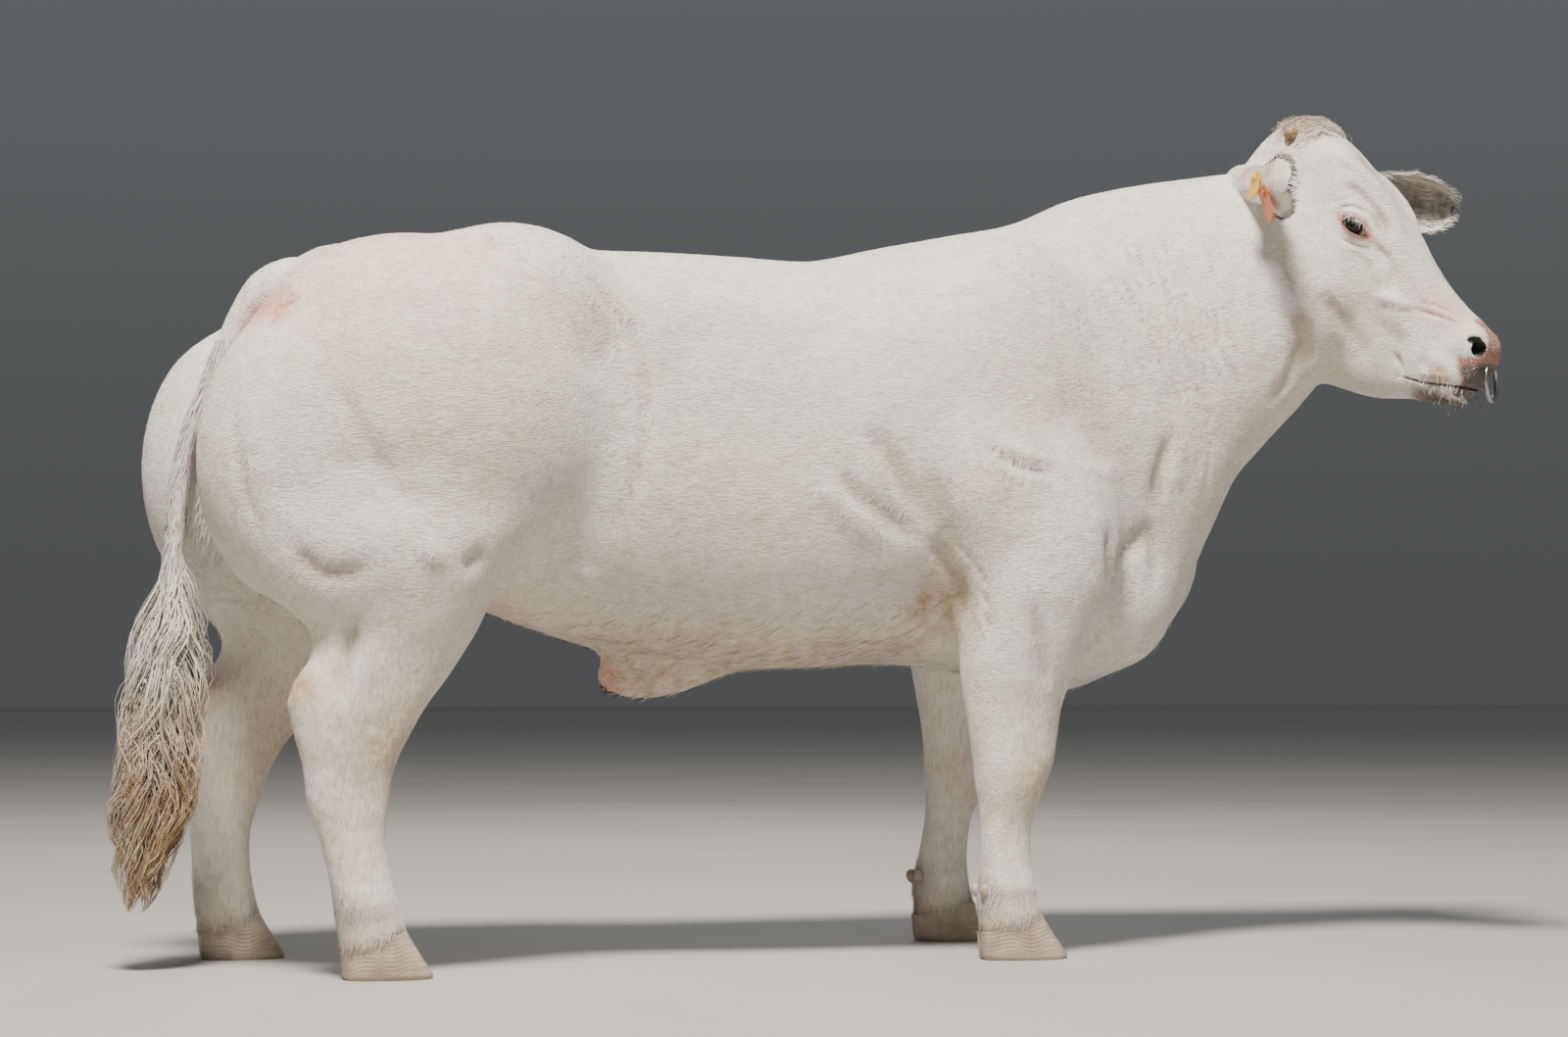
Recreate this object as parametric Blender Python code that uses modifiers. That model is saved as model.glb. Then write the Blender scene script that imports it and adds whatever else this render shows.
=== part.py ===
"""A Belgian Blue bull of about fourteen months, standing, life size.

The frame is +X towards the head, +Y to the animal's left and +Z up, in metres. The floor is at z = 0
and the origin is under the middle of the bounding box.

The body is laid out from stations along an axis, as ships are, and the muscles are ellipsoids laid on
it. Blender's voxel Remesh joins these rough forms, and each point of the result is then moved onto one
smooth field, so that every muscle runs into the next. Thin cuts part the whole into its nodes.
"""

from math import cos, pi, radians, sin

import bmesh
import bpy
import numpy as np
from mathutils import Matrix, Vector

# The drawing's zero lies this far from the origin, which is under the middle of the finished bull
SHIFT = Vector((-0.184, 0.030, 0.0))
GAP = 0.0003

# Voxels that join the rough forms, voxels of the settled surface, and the triangles left after it
ROUGH_VOXEL = 0.022
BODY_VOXEL = 0.0115
HEAD_VOXEL = 0.0080
BODY_TRIANGLES = 5200
HEAD_TRIANGLES = 2500

# Trunk and neck. Each station: x, y of the middle, z of the top, z where it is widest, z of the
# bottom, half the width, and how square the section is above and below its widest level
TRUNK = [
    (-0.785, 0.000, 1.040, 0.950, 0.860, 0.030, 2.0, 2.0),
    (-0.750, 0.000, 1.112, 0.950, 0.740, 0.090, 2.0, 2.0),
    (-0.690, 0.000, 1.162, 0.960, 0.640, 0.150, 2.0, 2.0),
    (-0.600, 0.000, 1.180, 0.960, 0.600, 0.195, 2.1, 2.0),
    (-0.500, 0.000, 1.184, 0.950, 0.590, 0.222, 2.3, 2.1),
    (-0.400, 0.000, 1.182, 0.930, 0.575, 0.230, 2.5, 2.2),
    (-0.280, 0.000, 1.180, 0.880, 0.535, 0.225, 2.7, 2.2),
    (-0.150, 0.000, 1.176, 0.850, 0.500, 0.232, 2.7, 2.2),
    (0.000, 0.000, 1.172, 0.830, 0.480, 0.247, 2.6, 2.2),
    (0.150, 0.000, 1.178, 0.820, 0.482, 0.260, 2.4, 2.2),
    (0.300, 0.000, 1.212, 0.830, 0.488, 0.265, 2.1, 2.2),
    (0.420, 0.000, 1.238, 0.840, 0.480, 0.252, 1.9, 2.3),
    (0.550, 0.000, 1.268, 0.860, 0.456, 0.228, 1.8, 2.2),
    (0.650, -0.003, 1.312, 0.890, 0.446, 0.198, 1.8, 2.0),
    (0.740, -0.015, 1.336, 0.930, 0.495, 0.172, 1.8, 1.8),
    (0.820, -0.032, 1.350, 0.980, 0.575, 0.155, 1.9, 1.8),
    (0.880, -0.050, 1.358, 1.030, 0.700, 0.143, 1.9, 1.8),
    (0.920, -0.064, 1.363, 1.070, 0.795, 0.136, 1.9, 1.9),
    (0.970, -0.082, 1.366, 1.110, 0.862, 0.127, 1.9, 2.0),
    (1.030, -0.108, 1.366, 1.150, 0.932, 0.113, 1.9, 2.0),
    (1.080, -0.130, 1.340, 1.180, 0.995, 0.097, 2.0, 2.0),
    (1.120, -0.150, 1.295, 1.190, 1.040, 0.065, 2.0, 2.0),
]

# Fore leg. Each station: z, y of the middle, x of the front, x where it is widest, x of the back,
# half the width, and how square the section is in front and behind
FORE_LEG = [
    (0.800, 0.165, 0.640, 0.500, 0.370, 0.080, 2.0, 2.0),
    (0.700, 0.178, 0.655, 0.505, 0.360, 0.100, 2.0, 2.0),
    (0.623, 0.185, 0.640, 0.500, 0.366, 0.100, 2.1, 2.0),
    (0.560, 0.188, 0.612, 0.490, 0.371, 0.089, 2.2, 2.0),
    (0.517, 0.190, 0.595, 0.485, 0.373, 0.080, 2.2, 2.0),
    (0.467, 0.190, 0.572, 0.475, 0.375, 0.070, 2.2, 2.0),
    (0.423, 0.190, 0.554, 0.468, 0.380, 0.062, 2.2, 2.0),
    (0.375, 0.190, 0.545, 0.466, 0.389, 0.057, 2.3, 2.1),
    (0.327, 0.190, 0.536, 0.466, 0.397, 0.056, 2.5, 2.2),
    (0.287, 0.190, 0.521, 0.460, 0.401, 0.053, 2.4, 2.2),
    (0.257, 0.190, 0.510, 0.456, 0.406, 0.046, 2.2, 2.2),
    (0.225, 0.190, 0.499, 0.455, 0.409, 0.039, 2.2, 2.2),
    (0.187, 0.190, 0.497, 0.455, 0.409, 0.037, 2.2, 2.2),
    (0.153, 0.190, 0.499, 0.456, 0.408, 0.041, 2.2, 2.2),
    (0.120, 0.190, 0.503, 0.458, 0.406, 0.049, 2.3, 2.3),
    (0.090, 0.190, 0.510, 0.462, 0.404, 0.047, 2.3, 2.3),
    (0.060, 0.190, 0.518, 0.470, 0.406, 0.048, 2.3, 2.3),
    (0.030, 0.190, 0.526, 0.476, 0.410, 0.048, 2.3, 2.3),
]
# How far ahead of the right fore leg the left one stands, by height
FORE_STEP = [(0.0, 0.022), (0.12, 0.026), (0.25, 0.045), (0.45, 0.055), (0.60, 0.030), (0.80, 0.0)]

HIND_LEG = [
    (0.760, 0.170, -0.330, -0.560, -0.800, 0.110, 2.0, 2.0),
    (0.690, 0.185, -0.365, -0.560, -0.800, 0.118, 2.0, 2.0),
    (0.630, 0.192, -0.400, -0.560, -0.785, 0.108, 2.0, 2.0),
    (0.583, 0.198, -0.425, -0.560, -0.760, 0.090, 2.0, 1.8),
    (0.540, 0.202, -0.445, -0.570, -0.717, 0.074, 2.0, 1.6),
    (0.500, 0.205, -0.470, -0.590, -0.712, 0.061, 2.0, 1.6),
    (0.460, 0.207, -0.497, -0.620, -0.737, 0.053, 2.1, 1.8),
    (0.430, 0.208, -0.520, -0.640, -0.746, 0.051, 2.2, 2.0),
    (0.384, 0.209, -0.548, -0.650, -0.738, 0.048, 2.3, 2.1),
    (0.330, 0.210, -0.574, -0.650, -0.723, 0.043, 2.3, 2.2),
    (0.264, 0.210, -0.586, -0.648, -0.713, 0.039, 2.3, 2.2),
    (0.217, 0.210, -0.590, -0.642, -0.696, 0.038, 2.3, 2.2),
    (0.155, 0.210, -0.580, -0.628, -0.680, 0.042, 2.3, 2.2),
    (0.118, 0.210, -0.570, -0.618, -0.672, 0.049, 2.3, 2.3),
    (0.090, 0.210, -0.562, -0.612, -0.668, 0.047, 2.3, 2.3),
    (0.060, 0.210, -0.555, -0.606, -0.664, 0.048, 2.3, 2.3),
    (0.030, 0.210, -0.550, -0.600, -0.660, 0.048, 2.3, 2.3),
]
HIND_STEP = [(0.0, -0.172), (0.12, -0.168), (0.28, -0.140), (0.42, -0.110), (0.52, -0.090), (0.76, -0.050)]

# The head has its own frame: a runs from the poll to the muzzle, b to its left, c out of the brow
POLL = Vector((1.085, -0.120, 1.460))
HEAD_YAW = radians(-45)
HEAD_PITCH = radians(36.5)
HEAD = [
    (-0.056, 0.000, -0.066, -0.135, -0.240, 0.044, 2.0, 2.0),
    (-0.034, 0.000, -0.026, -0.115, -0.290, 0.060, 2.2, 2.0),
    (0.000, 0.000, -0.003, -0.100, -0.330, 0.077, 2.5, 2.0),
    (0.055, 0.000, 0.000, -0.095, -0.366, 0.087, 2.7, 2.0),
    (0.110, 0.000, -0.009, -0.095, -0.386, 0.094, 2.9, 2.0),
    (0.165, 0.000, -0.026, -0.104, -0.393, 0.098, 3.0, 2.0),
    (0.215, 0.000, -0.043, -0.118, -0.391, 0.094, 2.9, 2.0),
    (0.265, 0.000, -0.062, -0.136, -0.382, 0.082, 2.5, 2.0),
    (0.320, 0.000, -0.090, -0.158, -0.367, 0.070, 2.3, 2.0),
    (0.373, 0.000, -0.112, -0.178, -0.349, 0.063, 2.2, 2.1),
    (0.423, 0.000, -0.127, -0.194, -0.317, 0.060, 2.2, 2.3),
    (0.464, 0.000, -0.134, -0.204, -0.292, 0.062, 2.3, 2.4),
    (0.494, 0.000, -0.147, -0.208, -0.272, 0.058, 2.4, 2.4),
    (0.512, 0.000, -0.164, -0.211, -0.255, 0.046, 2.3, 2.3),
    (0.523, 0.000, -0.188, -0.213, -0.238, 0.026, 2.2, 2.2),
]

# Muscles of both sides: x, y, z of the middle, half sizes, pitch in degrees, width of the blend, and
# how far ahead the left one lies
MUSCLES = [
    (-0.505, 0.122, 0.890, 0.312, 0.190, 0.290, 0, 0.028, -0.030),
    (-0.735, 0.138, 0.812, 0.147, 0.128, 0.228, 0, 0.045, -0.058),
    (-0.365, 0.118, 1.053, 0.190, 0.138, 0.152, 10, 0.028, 0.0),
    (-0.620, 0.110, 1.040, 0.150, 0.090, 0.110, -20, 0.060, 0.0),
    (-0.050, 0.090, 1.050, 0.320, 0.100, 0.103, 0, 0.060, 0.0),
    (0.455, 0.125, 0.985, 0.150, 0.105, 0.235, 20, 0.060, 0.0),
    (0.425, 0.178, 0.780, 0.170, 0.105, 0.145, 15, 0.040, 0.010),
    (0.560, 0.178, 0.720, 0.085, 0.098, 0.165, -8, 0.040, 0.010),
    (0.690, 0.080, 0.610, 0.120, 0.090, 0.130, 0, 0.055, 0.0),
]
# Single forms on the middle line, stated alike: brisket fold, sheath, withers
MIDLINE = [
    (0.800, -0.010, 0.655, 0.085, 0.055, 0.125, 25, 0.045),
    (-0.085, 0.000, 0.490, 0.120, 0.032, 0.055, -12, 0.040),
]

# Forms on both sides of the head, in its frame: a, b, c, half sizes, pitch, width of the blend
HEAD_FORMS = [
    (0.170, 0.062, -0.072, 0.080, 0.032, 0.034, 22, 0.020),
    (0.185, 0.072, -0.262, 0.085, 0.036, 0.095, 10, 0.030),
    (0.290, 0.058, -0.185, 0.085, 0.018, 0.026, 22, 0.020),
    (0.471, 0.036, -0.176, 0.035, 0.031, 0.035, 20, 0.014),
    (0.447, 0.034, -0.228, 0.058, 0.029, 0.026, 8, 0.014),
    (0.476, 0.015, -0.258, 0.032, 0.027, 0.018, 12, 0.012),
]
EYE = (0.197, 0.084, -0.114)
EYE_RADIUS = 0.0195
LID = 0.0042

NOSTRIL = (0.474, 0.022, -0.173)
MOUTH = [(0.392, -0.276), (0.418, -0.268), (0.447, -0.260), (0.480, -0.252), (0.512, -0.246)]


def along_column(at, xs, ys):
    """Cubic Hermite curve through the points (xs, ys), with slopes taken from the neighbours."""
    xs, ys = np.asarray(xs, float), np.asarray(ys, float)
    if xs[0] > xs[-1]:
        xs, ys = xs[::-1], ys[::-1]
    slope = np.gradient(ys, xs)
    at = np.clip(at, xs[0], xs[-1])
    i = np.clip(np.searchsorted(xs, at) - 1, 0, len(xs) - 2)
    h = xs[i + 1] - xs[i]
    t = (at - xs[i]) / h
    start = (2 * t**3 - 3 * t**2 + 1) * ys[i] + (t**3 - 2 * t**2 + t) * h * slope[i]
    return start + (3 * t**2 - 2 * t**3) * ys[i + 1] + (t**3 - t**2) * h * slope[i + 1]


def blend(a, b, width):
    """Union of two distances, with the crease between them filled over the given width."""
    h = np.clip(0.5 + 0.5 * (b - a) / width, 0, 1)
    return b + (a - b) * h - width * h * (1 - h)


def section(along, stations):
    columns = list(zip(*stations))
    return [along_column(along, columns[0], c) for c in columns[1:]]


def loft_distance(along, side, high, stations, rounding=0.02):
    """Distance from a lofted form: the radius, less its share that lies inside the section."""
    low_end, high_end = sorted((stations[0][0], stations[-1][0]))
    mid, top, wide, low, half, square_top, square_low = section(along, stations)
    b, c = side - mid, high - wide
    reach = np.where(c > 0, top - wide, wide - low)
    square = np.where(c > 0, square_top, square_low)
    share = (np.abs(b / half) ** square + np.abs(c / reach) ** square) ** (1 / square)
    across = np.hypot(b, c) * (1 - 1 / np.maximum(share, 0.05))
    across = np.where(share < 0.05, -np.minimum(half, reach), across)
    beyond = np.maximum(low_end - along, along - high_end)
    return -blend(-across, -beyond, rounding)


def pitch_matrix(degrees):
    return np.array(Matrix.Rotation(radians(degrees), 3, "Y"))


def ellipsoid_distance(p, centre, radii, pitch):
    q = (p - np.array(centre)) @ pitch_matrix(pitch)
    r = np.array(radii)
    k0 = np.sqrt(((q / r) ** 2).sum(1)) + 1e-9
    k1 = np.sqrt(((q / r**2) ** 2).sum(1)) + 1e-9
    return k0 * (k0 - 1) / k1


HEAD_AXIS = Vector((cos(HEAD_PITCH) * cos(HEAD_YAW), cos(HEAD_PITCH) * sin(HEAD_YAW), -sin(HEAD_PITCH)))
HEAD_UP = Vector((sin(HEAD_PITCH) * cos(HEAD_YAW), sin(HEAD_PITCH) * sin(HEAD_YAW), cos(HEAD_PITCH)))
HEAD_LEFT = HEAD_UP.cross(HEAD_AXIS)
HEAD_TURN = np.array([HEAD_AXIS, HEAD_LEFT, HEAD_UP])


def to_head(p):
    return (p - np.array(POLL)) @ HEAD_TURN.T


def from_head(q):
    return np.atleast_2d(q) @ HEAD_TURN + np.array(POLL)


def head_point(a, b, c):
    return POLL + HEAD_AXIS * a + HEAD_LEFT * b + HEAD_UP * c


def head_distance(p):
    q = to_head(p)
    d = loft_distance(q[:, 0], q[:, 1], q[:, 2], HEAD, 0.012)
    mirrored = np.column_stack([q[:, 0], np.abs(q[:, 1]), q[:, 2]])
    for a, b, c, ra, rb, rc, pitch, width in HEAD_FORMS:
        d = blend(d, ellipsoid_distance(mirrored, (a, b, c), (ra, rb, rc), pitch), width)
    dome = np.linalg.norm(mirrored - np.array(EYE), axis=1) - (EYE_RADIUS + LID)
    return blend(d, dome, 0.010)


def leg_distance(p, stations, sign, step):
    ahead = 0.0
    if sign > 0:
        ahead = along_column(p[:, 2], *zip(*step))
    return loft_distance(p[:, 2], sign * p[:, 1], p[:, 0] - ahead, stations, 0.015)


def body_distance(p):
    """The whole field, for an array of points."""
    x, y, z = p.T
    d = loft_distance(x, y, z, TRUNK, 0.04)
    for mx, my, mz, rx, ry, rz, pitch, width, ahead in MUSCLES:
        mirrored = np.column_stack([x - np.where(y > 0, ahead, 0), np.abs(y), z])
        d = blend(d, ellipsoid_distance(mirrored, (mx, my, mz), (rx, ry, rz), pitch), width)
    for mx, my, mz, rx, ry, rz, pitch, width in MIDLINE:
        d = blend(d, ellipsoid_distance(p, (mx, my, mz), (rx, ry, rz), pitch), width)
    for sign in (-1, 1):
        d = blend(d, leg_distance(p, FORE_LEG, sign, FORE_STEP), 0.045)
        d = blend(d, leg_distance(p, HIND_LEG, sign, HIND_STEP), 0.045)
    return blend(d, head_distance(p), 0.035)


def nearest_surface(point, direction, reach=0.10):
    """The point where a line that comes in from outside first meets the field's surface."""
    direction = np.array(direction) / np.linalg.norm(direction)
    steps = np.linspace(-reach, reach, 401)
    line = np.array(point) + steps[:, None] * direction
    inside = np.nonzero(body_distance(line) < 0)[0]
    return Vector(line[inside[0]]) if len(inside) else Vector(point)


# Blender side: collections, materials and meshes

for old in list(bpy.data.objects):
    bpy.data.objects.remove(old, do_unlink=True)

PARTS = bpy.data.collections.new("belgian_blue_bull")
CUTTERS = bpy.data.collections.new("cutters")
ROUGH = bpy.data.collections.new("rough_forms")
for collection in (PARTS, CUTTERS, ROUGH):
    bpy.context.scene.collection.children.link(collection)
CUTTERS.hide_render = True


def srgb(code):
    channels = [int(code[i:i + 2], 16) / 255 for i in (0, 2, 4)]
    return [v / 12.92 if v <= 0.04045 else ((v + 0.055) / 1.055) ** 2.4 for v in channels] + [1.0]


def material(name, code, rough, metal=0.0):
    found = bpy.data.materials.new(name)
    found.use_nodes = True
    shader = found.node_tree.nodes["Principled BSDF"]
    shader.inputs["Base Color"].default_value = srgb(code)
    shader.inputs["Roughness"].default_value = rough
    shader.inputs["Metallic"].default_value = metal
    return found


def solid(name, verts, faces, collection=PARTS):
    mesh = bpy.data.meshes.new(name)
    mesh.from_pydata([tuple(v) for v in verts], [], faces)
    shape = bmesh.new()
    shape.from_mesh(mesh)
    bmesh.ops.recalc_face_normals(shape, faces=shape.faces)
    shape.to_mesh(mesh)
    shape.free()
    made = bpy.data.objects.new(name, mesh)
    collection.objects.link(made)
    if collection is CUTTERS:
        made.display_type = "WIRE"
    return made


def tube(name, rings, collection=PARTS):
    """A closed solid through rings of equal count, capped at both ends."""
    n = len(rings[0])
    verts = [p for ring in rings for p in ring]
    faces = [tuple(reversed(range(n)))]
    for i in range(len(rings) - 1):
        for k in range(n):
            m = (k + 1) % n
            faces.append((i * n + k, i * n + m, (i + 1) * n + m, (i + 1) * n + k))
    last = (len(rings) - 1) * n
    faces.append(tuple(range(last, last + n)))
    return solid(name, verts, faces, collection)


def ellipsoid(name, centre, radii, turn=Matrix.Identity(3), segments=20, collection=CUTTERS):
    shape = bmesh.new()
    bmesh.ops.create_uvsphere(shape, u_segments=segments, v_segments=segments // 2, radius=1)
    for v in shape.verts:
        v.co = Vector(centre) + turn @ Vector([c * r for c, r in zip(v.co, radii)])
    mesh = bpy.data.meshes.new(name)
    shape.to_mesh(mesh)
    shape.free()
    made = bpy.data.objects.new(name, mesh)
    collection.objects.link(made)
    if collection is CUTTERS:
        made.display_type = "WIRE"
    return made


def finish_modifiers(made):
    """Replaces the mesh by what its modifiers give."""
    bpy.context.view_layer.update()
    graph = bpy.context.evaluated_depsgraph_get()
    mesh = bpy.data.meshes.new_from_object(made.evaluated_get(graph))
    made.modifiers.clear()
    made.data = mesh
    return made


def boolean(made, other, operation="DIFFERENCE", solver="EXACT"):
    cut = made.modifiers.new(operation.lower(), "BOOLEAN")
    cut.operation = operation
    cut.object = other
    cut.solver = solver
    return finish_modifiers(made)


def clean(made):
    """Keeps the largest closed piece, with its shortest edges merged."""
    shape = bmesh.new()
    shape.from_mesh(made.data)
    bmesh.ops.remove_doubles(shape, verts=shape.verts, dist=0.00005)
    bmesh.ops.dissolve_degenerate(shape, edges=shape.edges, dist=0.00005)
    todo, pieces = set(shape.verts), []
    while todo:
        piece, front = set(), [todo.pop()]
        while front:
            v = front.pop()
            piece.add(v)
            for e in v.link_edges:
                w = e.other_vert(v)
                if w in todo:
                    todo.discard(w)
                    front.append(w)
        pieces.append(piece)
    pieces.sort(key=len)
    for piece in pieces[:-1]:
        bmesh.ops.delete(shape, geom=list(piece), context="VERTS")
    shape.to_mesh(made.data)
    shape.free()
    return made


def inflated(made, name, amount):
    copy = bpy.data.objects.new(name, made.data.copy())
    CUTTERS.objects.link(copy)
    copy.display_type = "WIRE"
    normals = [v.normal.copy() for v in copy.data.vertices]
    for v, normal in zip(copy.data.vertices, normals):
        v.co += normal * amount
    return copy


def joined(objects, name):
    mesh = bpy.data.meshes.new(name)
    shape = bmesh.new()
    for made in objects:
        shape.from_mesh(made.data)
    shape.to_mesh(mesh)
    shape.free()
    whole = bpy.data.objects.new(name, mesh)
    ROUGH.objects.link(whole)
    for made in objects:
        bpy.data.objects.remove(made, do_unlink=True)
    return whole


def remesh(made, size):
    voxels = made.modifiers.new("voxels", "REMESH")
    voxels.mode = "VOXEL"
    voxels.voxel_size = size
    return finish_modifiers(made)


def settle(made, rounds, step):
    """Moves the points along their normals to the field's surface, and evens out their spacing."""
    shape = bmesh.new()
    shape.from_mesh(made.data)
    for i in range(rounds):
        bmesh.ops.smooth_vert(shape, verts=shape.verts, factor=0.35, use_axis_x=True,
                              use_axis_y=True, use_axis_z=True)
        shape.normal_update()
        points = np.array([v.co for v in shape.verts])
        normals = np.array([v.normal for v in shape.verts])
        for k in range(2):
            away = np.clip(body_distance(points), -step, step)
            points = points - 0.85 * away[:, None] * normals
        for v, p in zip(shape.verts, points):
            v.co = p
    shape.to_mesh(made.data)
    shape.free()
    return made


def decimate(made, triangles):
    fewer = made.modifiers.new("fewer", "DECIMATE")
    made.data.calc_loop_triangles()
    fewer.ratio = min(1.0, triangles / len(made.data.loop_triangles))
    return finish_modifiers(made)


def cut_plane(made, point, normal):
    """Takes away what lies on the normal's side of a plane and caps the opening flat."""
    shape = bmesh.new()
    shape.from_mesh(made.data)
    whole = shape.verts[:] + shape.edges[:] + shape.faces[:]
    cut = bmesh.ops.bisect_plane(shape, geom=whole, plane_co=point, plane_no=normal, clear_outer=True,
                                 dist=0.00002)
    rim = [e for e in cut["geom_cut"] if isinstance(e, bmesh.types.BMEdge)]
    bmesh.ops.contextual_create(shape, geom=rim)
    bmesh.ops.recalc_face_normals(shape, faces=shape.faces)
    shape.to_mesh(made.data)
    shape.free()
    return made


def rough_loft(name, stations, place, around=20, every=0.03):
    low_end, high_end = sorted((stations[0][0], stations[-1][0]))
    count = max(4, int((high_end - low_end) / every))
    turns = np.linspace(0, 2 * pi, around, endpoint=False)
    rings = []
    for along in np.linspace(low_end, high_end, count):
        mid, top, wide, low, half = (float(v) for v in section(along, stations)[:5])
        reach = np.where(np.sin(turns) > 0, top - wide, wide - low)
        side = mid + half * np.cos(turns)
        high = wide + reach * np.sin(turns)
        rings.append([place(along, s, h) for s, h in zip(side, high)])
    return tube(name, rings, ROUGH)


def rough_bull():
    forms = [rough_loft("trunk", TRUNK, lambda a, s, h: (a, s, h))]
    forms.append(rough_loft("head", HEAD, lambda a, s, h: head_point(a, s, h)))
    for sign in (-1, 1):
        for stations, step in ((FORE_LEG, FORE_STEP), (HIND_LEG, HIND_STEP)):
            def place(a, s, h):
                ahead = float(along_column(a, *zip(*step))) if sign > 0 else 0.0
                return (h + ahead, sign * s, a)
            forms.append(rough_loft("leg", stations, place))
        for x, y, z, rx, ry, rz, pitch, width, ahead in MUSCLES:
            turn = Matrix.Rotation(radians(pitch), 3, "Y")
            middle = (x + max(0, sign) * ahead, sign * y, z)
            forms.append(ellipsoid("muscle", middle, (rx, ry, rz), turn, 20, ROUGH))
        a, b, c = EYE
        forms.append(ellipsoid("brow", head_point(a, sign * b, c), [EYE_RADIUS] * 3, collection=ROUGH))
    for x, y, z, rx, ry, rz, pitch, width in MIDLINE:
        turn = Matrix.Rotation(radians(pitch), 3, "Y")
        forms.append(ellipsoid("fold", (x, y, z), (rx, ry, rz), turn, 20, ROUGH))
    return joined(forms, "rough_bull")


def copy_of(made, name, collection=ROUGH):
    copy = bpy.data.objects.new(name, made.data.copy())
    collection.objects.link(copy)
    return copy


def box_cutter(name, centre, size, turn=Matrix.Identity(3)):
    shape = bmesh.new()
    bmesh.ops.create_cube(shape, size=1)
    for v in shape.verts:
        v.co = Vector(centre) + turn @ Vector([c * s for c, s in zip(v.co, size)])
    mesh = bpy.data.meshes.new(name)
    shape.to_mesh(mesh)
    shape.free()
    made = bpy.data.objects.new(name, mesh)
    CUTTERS.objects.link(made)
    made.display_type = "WIRE"
    return made


def loose_parts(made):
    """Splits an object into one per closed piece, with the middle of each piece's bounding box."""
    shape = bmesh.new()
    shape.from_mesh(made.data)
    shape.verts.ensure_lookup_table()
    seen, pieces = set(), []
    for seed in shape.verts:
        if seed.index in seen:
            continue
        piece, front = set(), [seed]
        seen.add(seed.index)
        while front:
            v = front.pop()
            piece.add(v.index)
            for e in v.link_edges:
                w = e.other_vert(v)
                if w.index not in seen:
                    seen.add(w.index)
                    front.append(w)
        pieces.append(piece)
    shape.free()
    out = []
    for piece in pieces:
        part = bmesh.new()
        part.from_mesh(made.data)
        part.verts.ensure_lookup_table()
        bmesh.ops.delete(part, geom=[v for v in part.verts if v.index not in piece], context="VERTS")
        points = np.array([v.co for v in part.verts])
        mesh = bpy.data.meshes.new("piece")
        part.to_mesh(mesh)
        part.free()
        out.append(((points.min(0) + points.max(0)) / 2, mesh))
    return out


def across(direction, up):
    """Two unit vectors square to a direction, the second as near to up as can be."""
    w = Vector(direction).normalized()
    side = w.cross(Vector(up)).normalized()
    return side, side.cross(w)


def path_tube(name, points, sizes, around=8, up=(0, 0, 1), collection=PARTS):
    """A tube through points, with a half width and a half height at each."""
    points = [Vector(p) for p in points]
    rings = []
    for i, p in enumerate(points):
        ahead = points[min(i + 1, len(points) - 1)] - points[max(i - 1, 0)]
        side, high = across(ahead, up)
        wide, tall = sizes[i]
        turns = [2 * pi * k / around for k in range(around)]
        rings.append([p + side * wide * cos(t) + high * tall * sin(t) for t in turns])
    return tube(name, rings, collection)


def torus(name, centre, side, down, ring, wire, around=40, section_count=10, collection=PARTS):
    out = Vector(side).cross(Vector(down)).normalized()
    verts, faces = [], []
    for i in range(around):
        t = 2 * pi * i / around
        arm = Vector(side) * cos(t) + Vector(down) * sin(t)
        for k in range(section_count):
            u = 2 * pi * k / section_count
            verts.append(Vector(centre) + arm * (ring + wire * cos(u)) + out * wire * sin(u))
    for i in range(around):
        for k in range(section_count):
            i2, k2 = (i + 1) % around, (k + 1) % section_count
            a, b = i * section_count, i2 * section_count
            faces.append((a + k, b + k, b + k2, a + k2))
    return solid(name, verts, faces, collection)


def keep(made, name, skin):
    made.name = name
    made.data.name = name
    made.data.materials.clear()
    made.data.materials.append(skin)
    for collection in list(made.users_collection):
        collection.objects.unlink(made)
    PARTS.objects.link(made)
    return made


HAIR = material("short_cream_hair", "E6DECF", 0.85)
SWITCH_HAIR = material("long_tail_hair", "C9AE7C", 0.80)
HORN = material("claw_horn", "8C7B66", 0.45)
BUD = material("horn_bud", "B08E5A", 0.55)
EYE_SKIN = material("eyeball", "17120F", 0.12)
STEEL = material("polished_steel", "B9BBBD", 0.25, 1.0)
ORANGE = material("orange_tag_plastic", "E08A4C", 0.45)
YELLOW = material("yellow_tag_plastic", "E3B83A", 0.45)

# Whole surface of the body, and a finer one of the head
bull = remesh(rough_bull(), ROUGH_VOXEL)
settle(bull, 8, 0.02)

HEAD_CUT = (head_point(-0.075, 0, -0.02), (HEAD_AXIS * 0.38 + HEAD_UP * 0.27).normalized())
NECK_CUT = (Vector((0.66, 0.0, 1.30)), Vector((0.95, 0.0, 0.31)).normalized())

head = copy_of(bull, "head")
cut_plane(head, HEAD_CUT[0] - HEAD_CUT[1] * 0.08, -HEAD_CUT[1])
cut_plane(bull, HEAD_CUT[0] + HEAD_CUT[1] * 0.08, HEAD_CUT[1])
remesh(bull, BODY_VOXEL)
settle(bull, 5, 0.006)
remesh(head, HEAD_VOXEL)
settle(head, 5, 0.005)
decimate(bull, BODY_TRIANGLES)
decimate(head, HEAD_TRIANGLES)
cut_plane(head, HEAD_CUT[0] + HEAD_CUT[1] * GAP, -HEAD_CUT[1])
cut_plane(bull, HEAD_CUT[0], HEAD_CUT[1])

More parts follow.
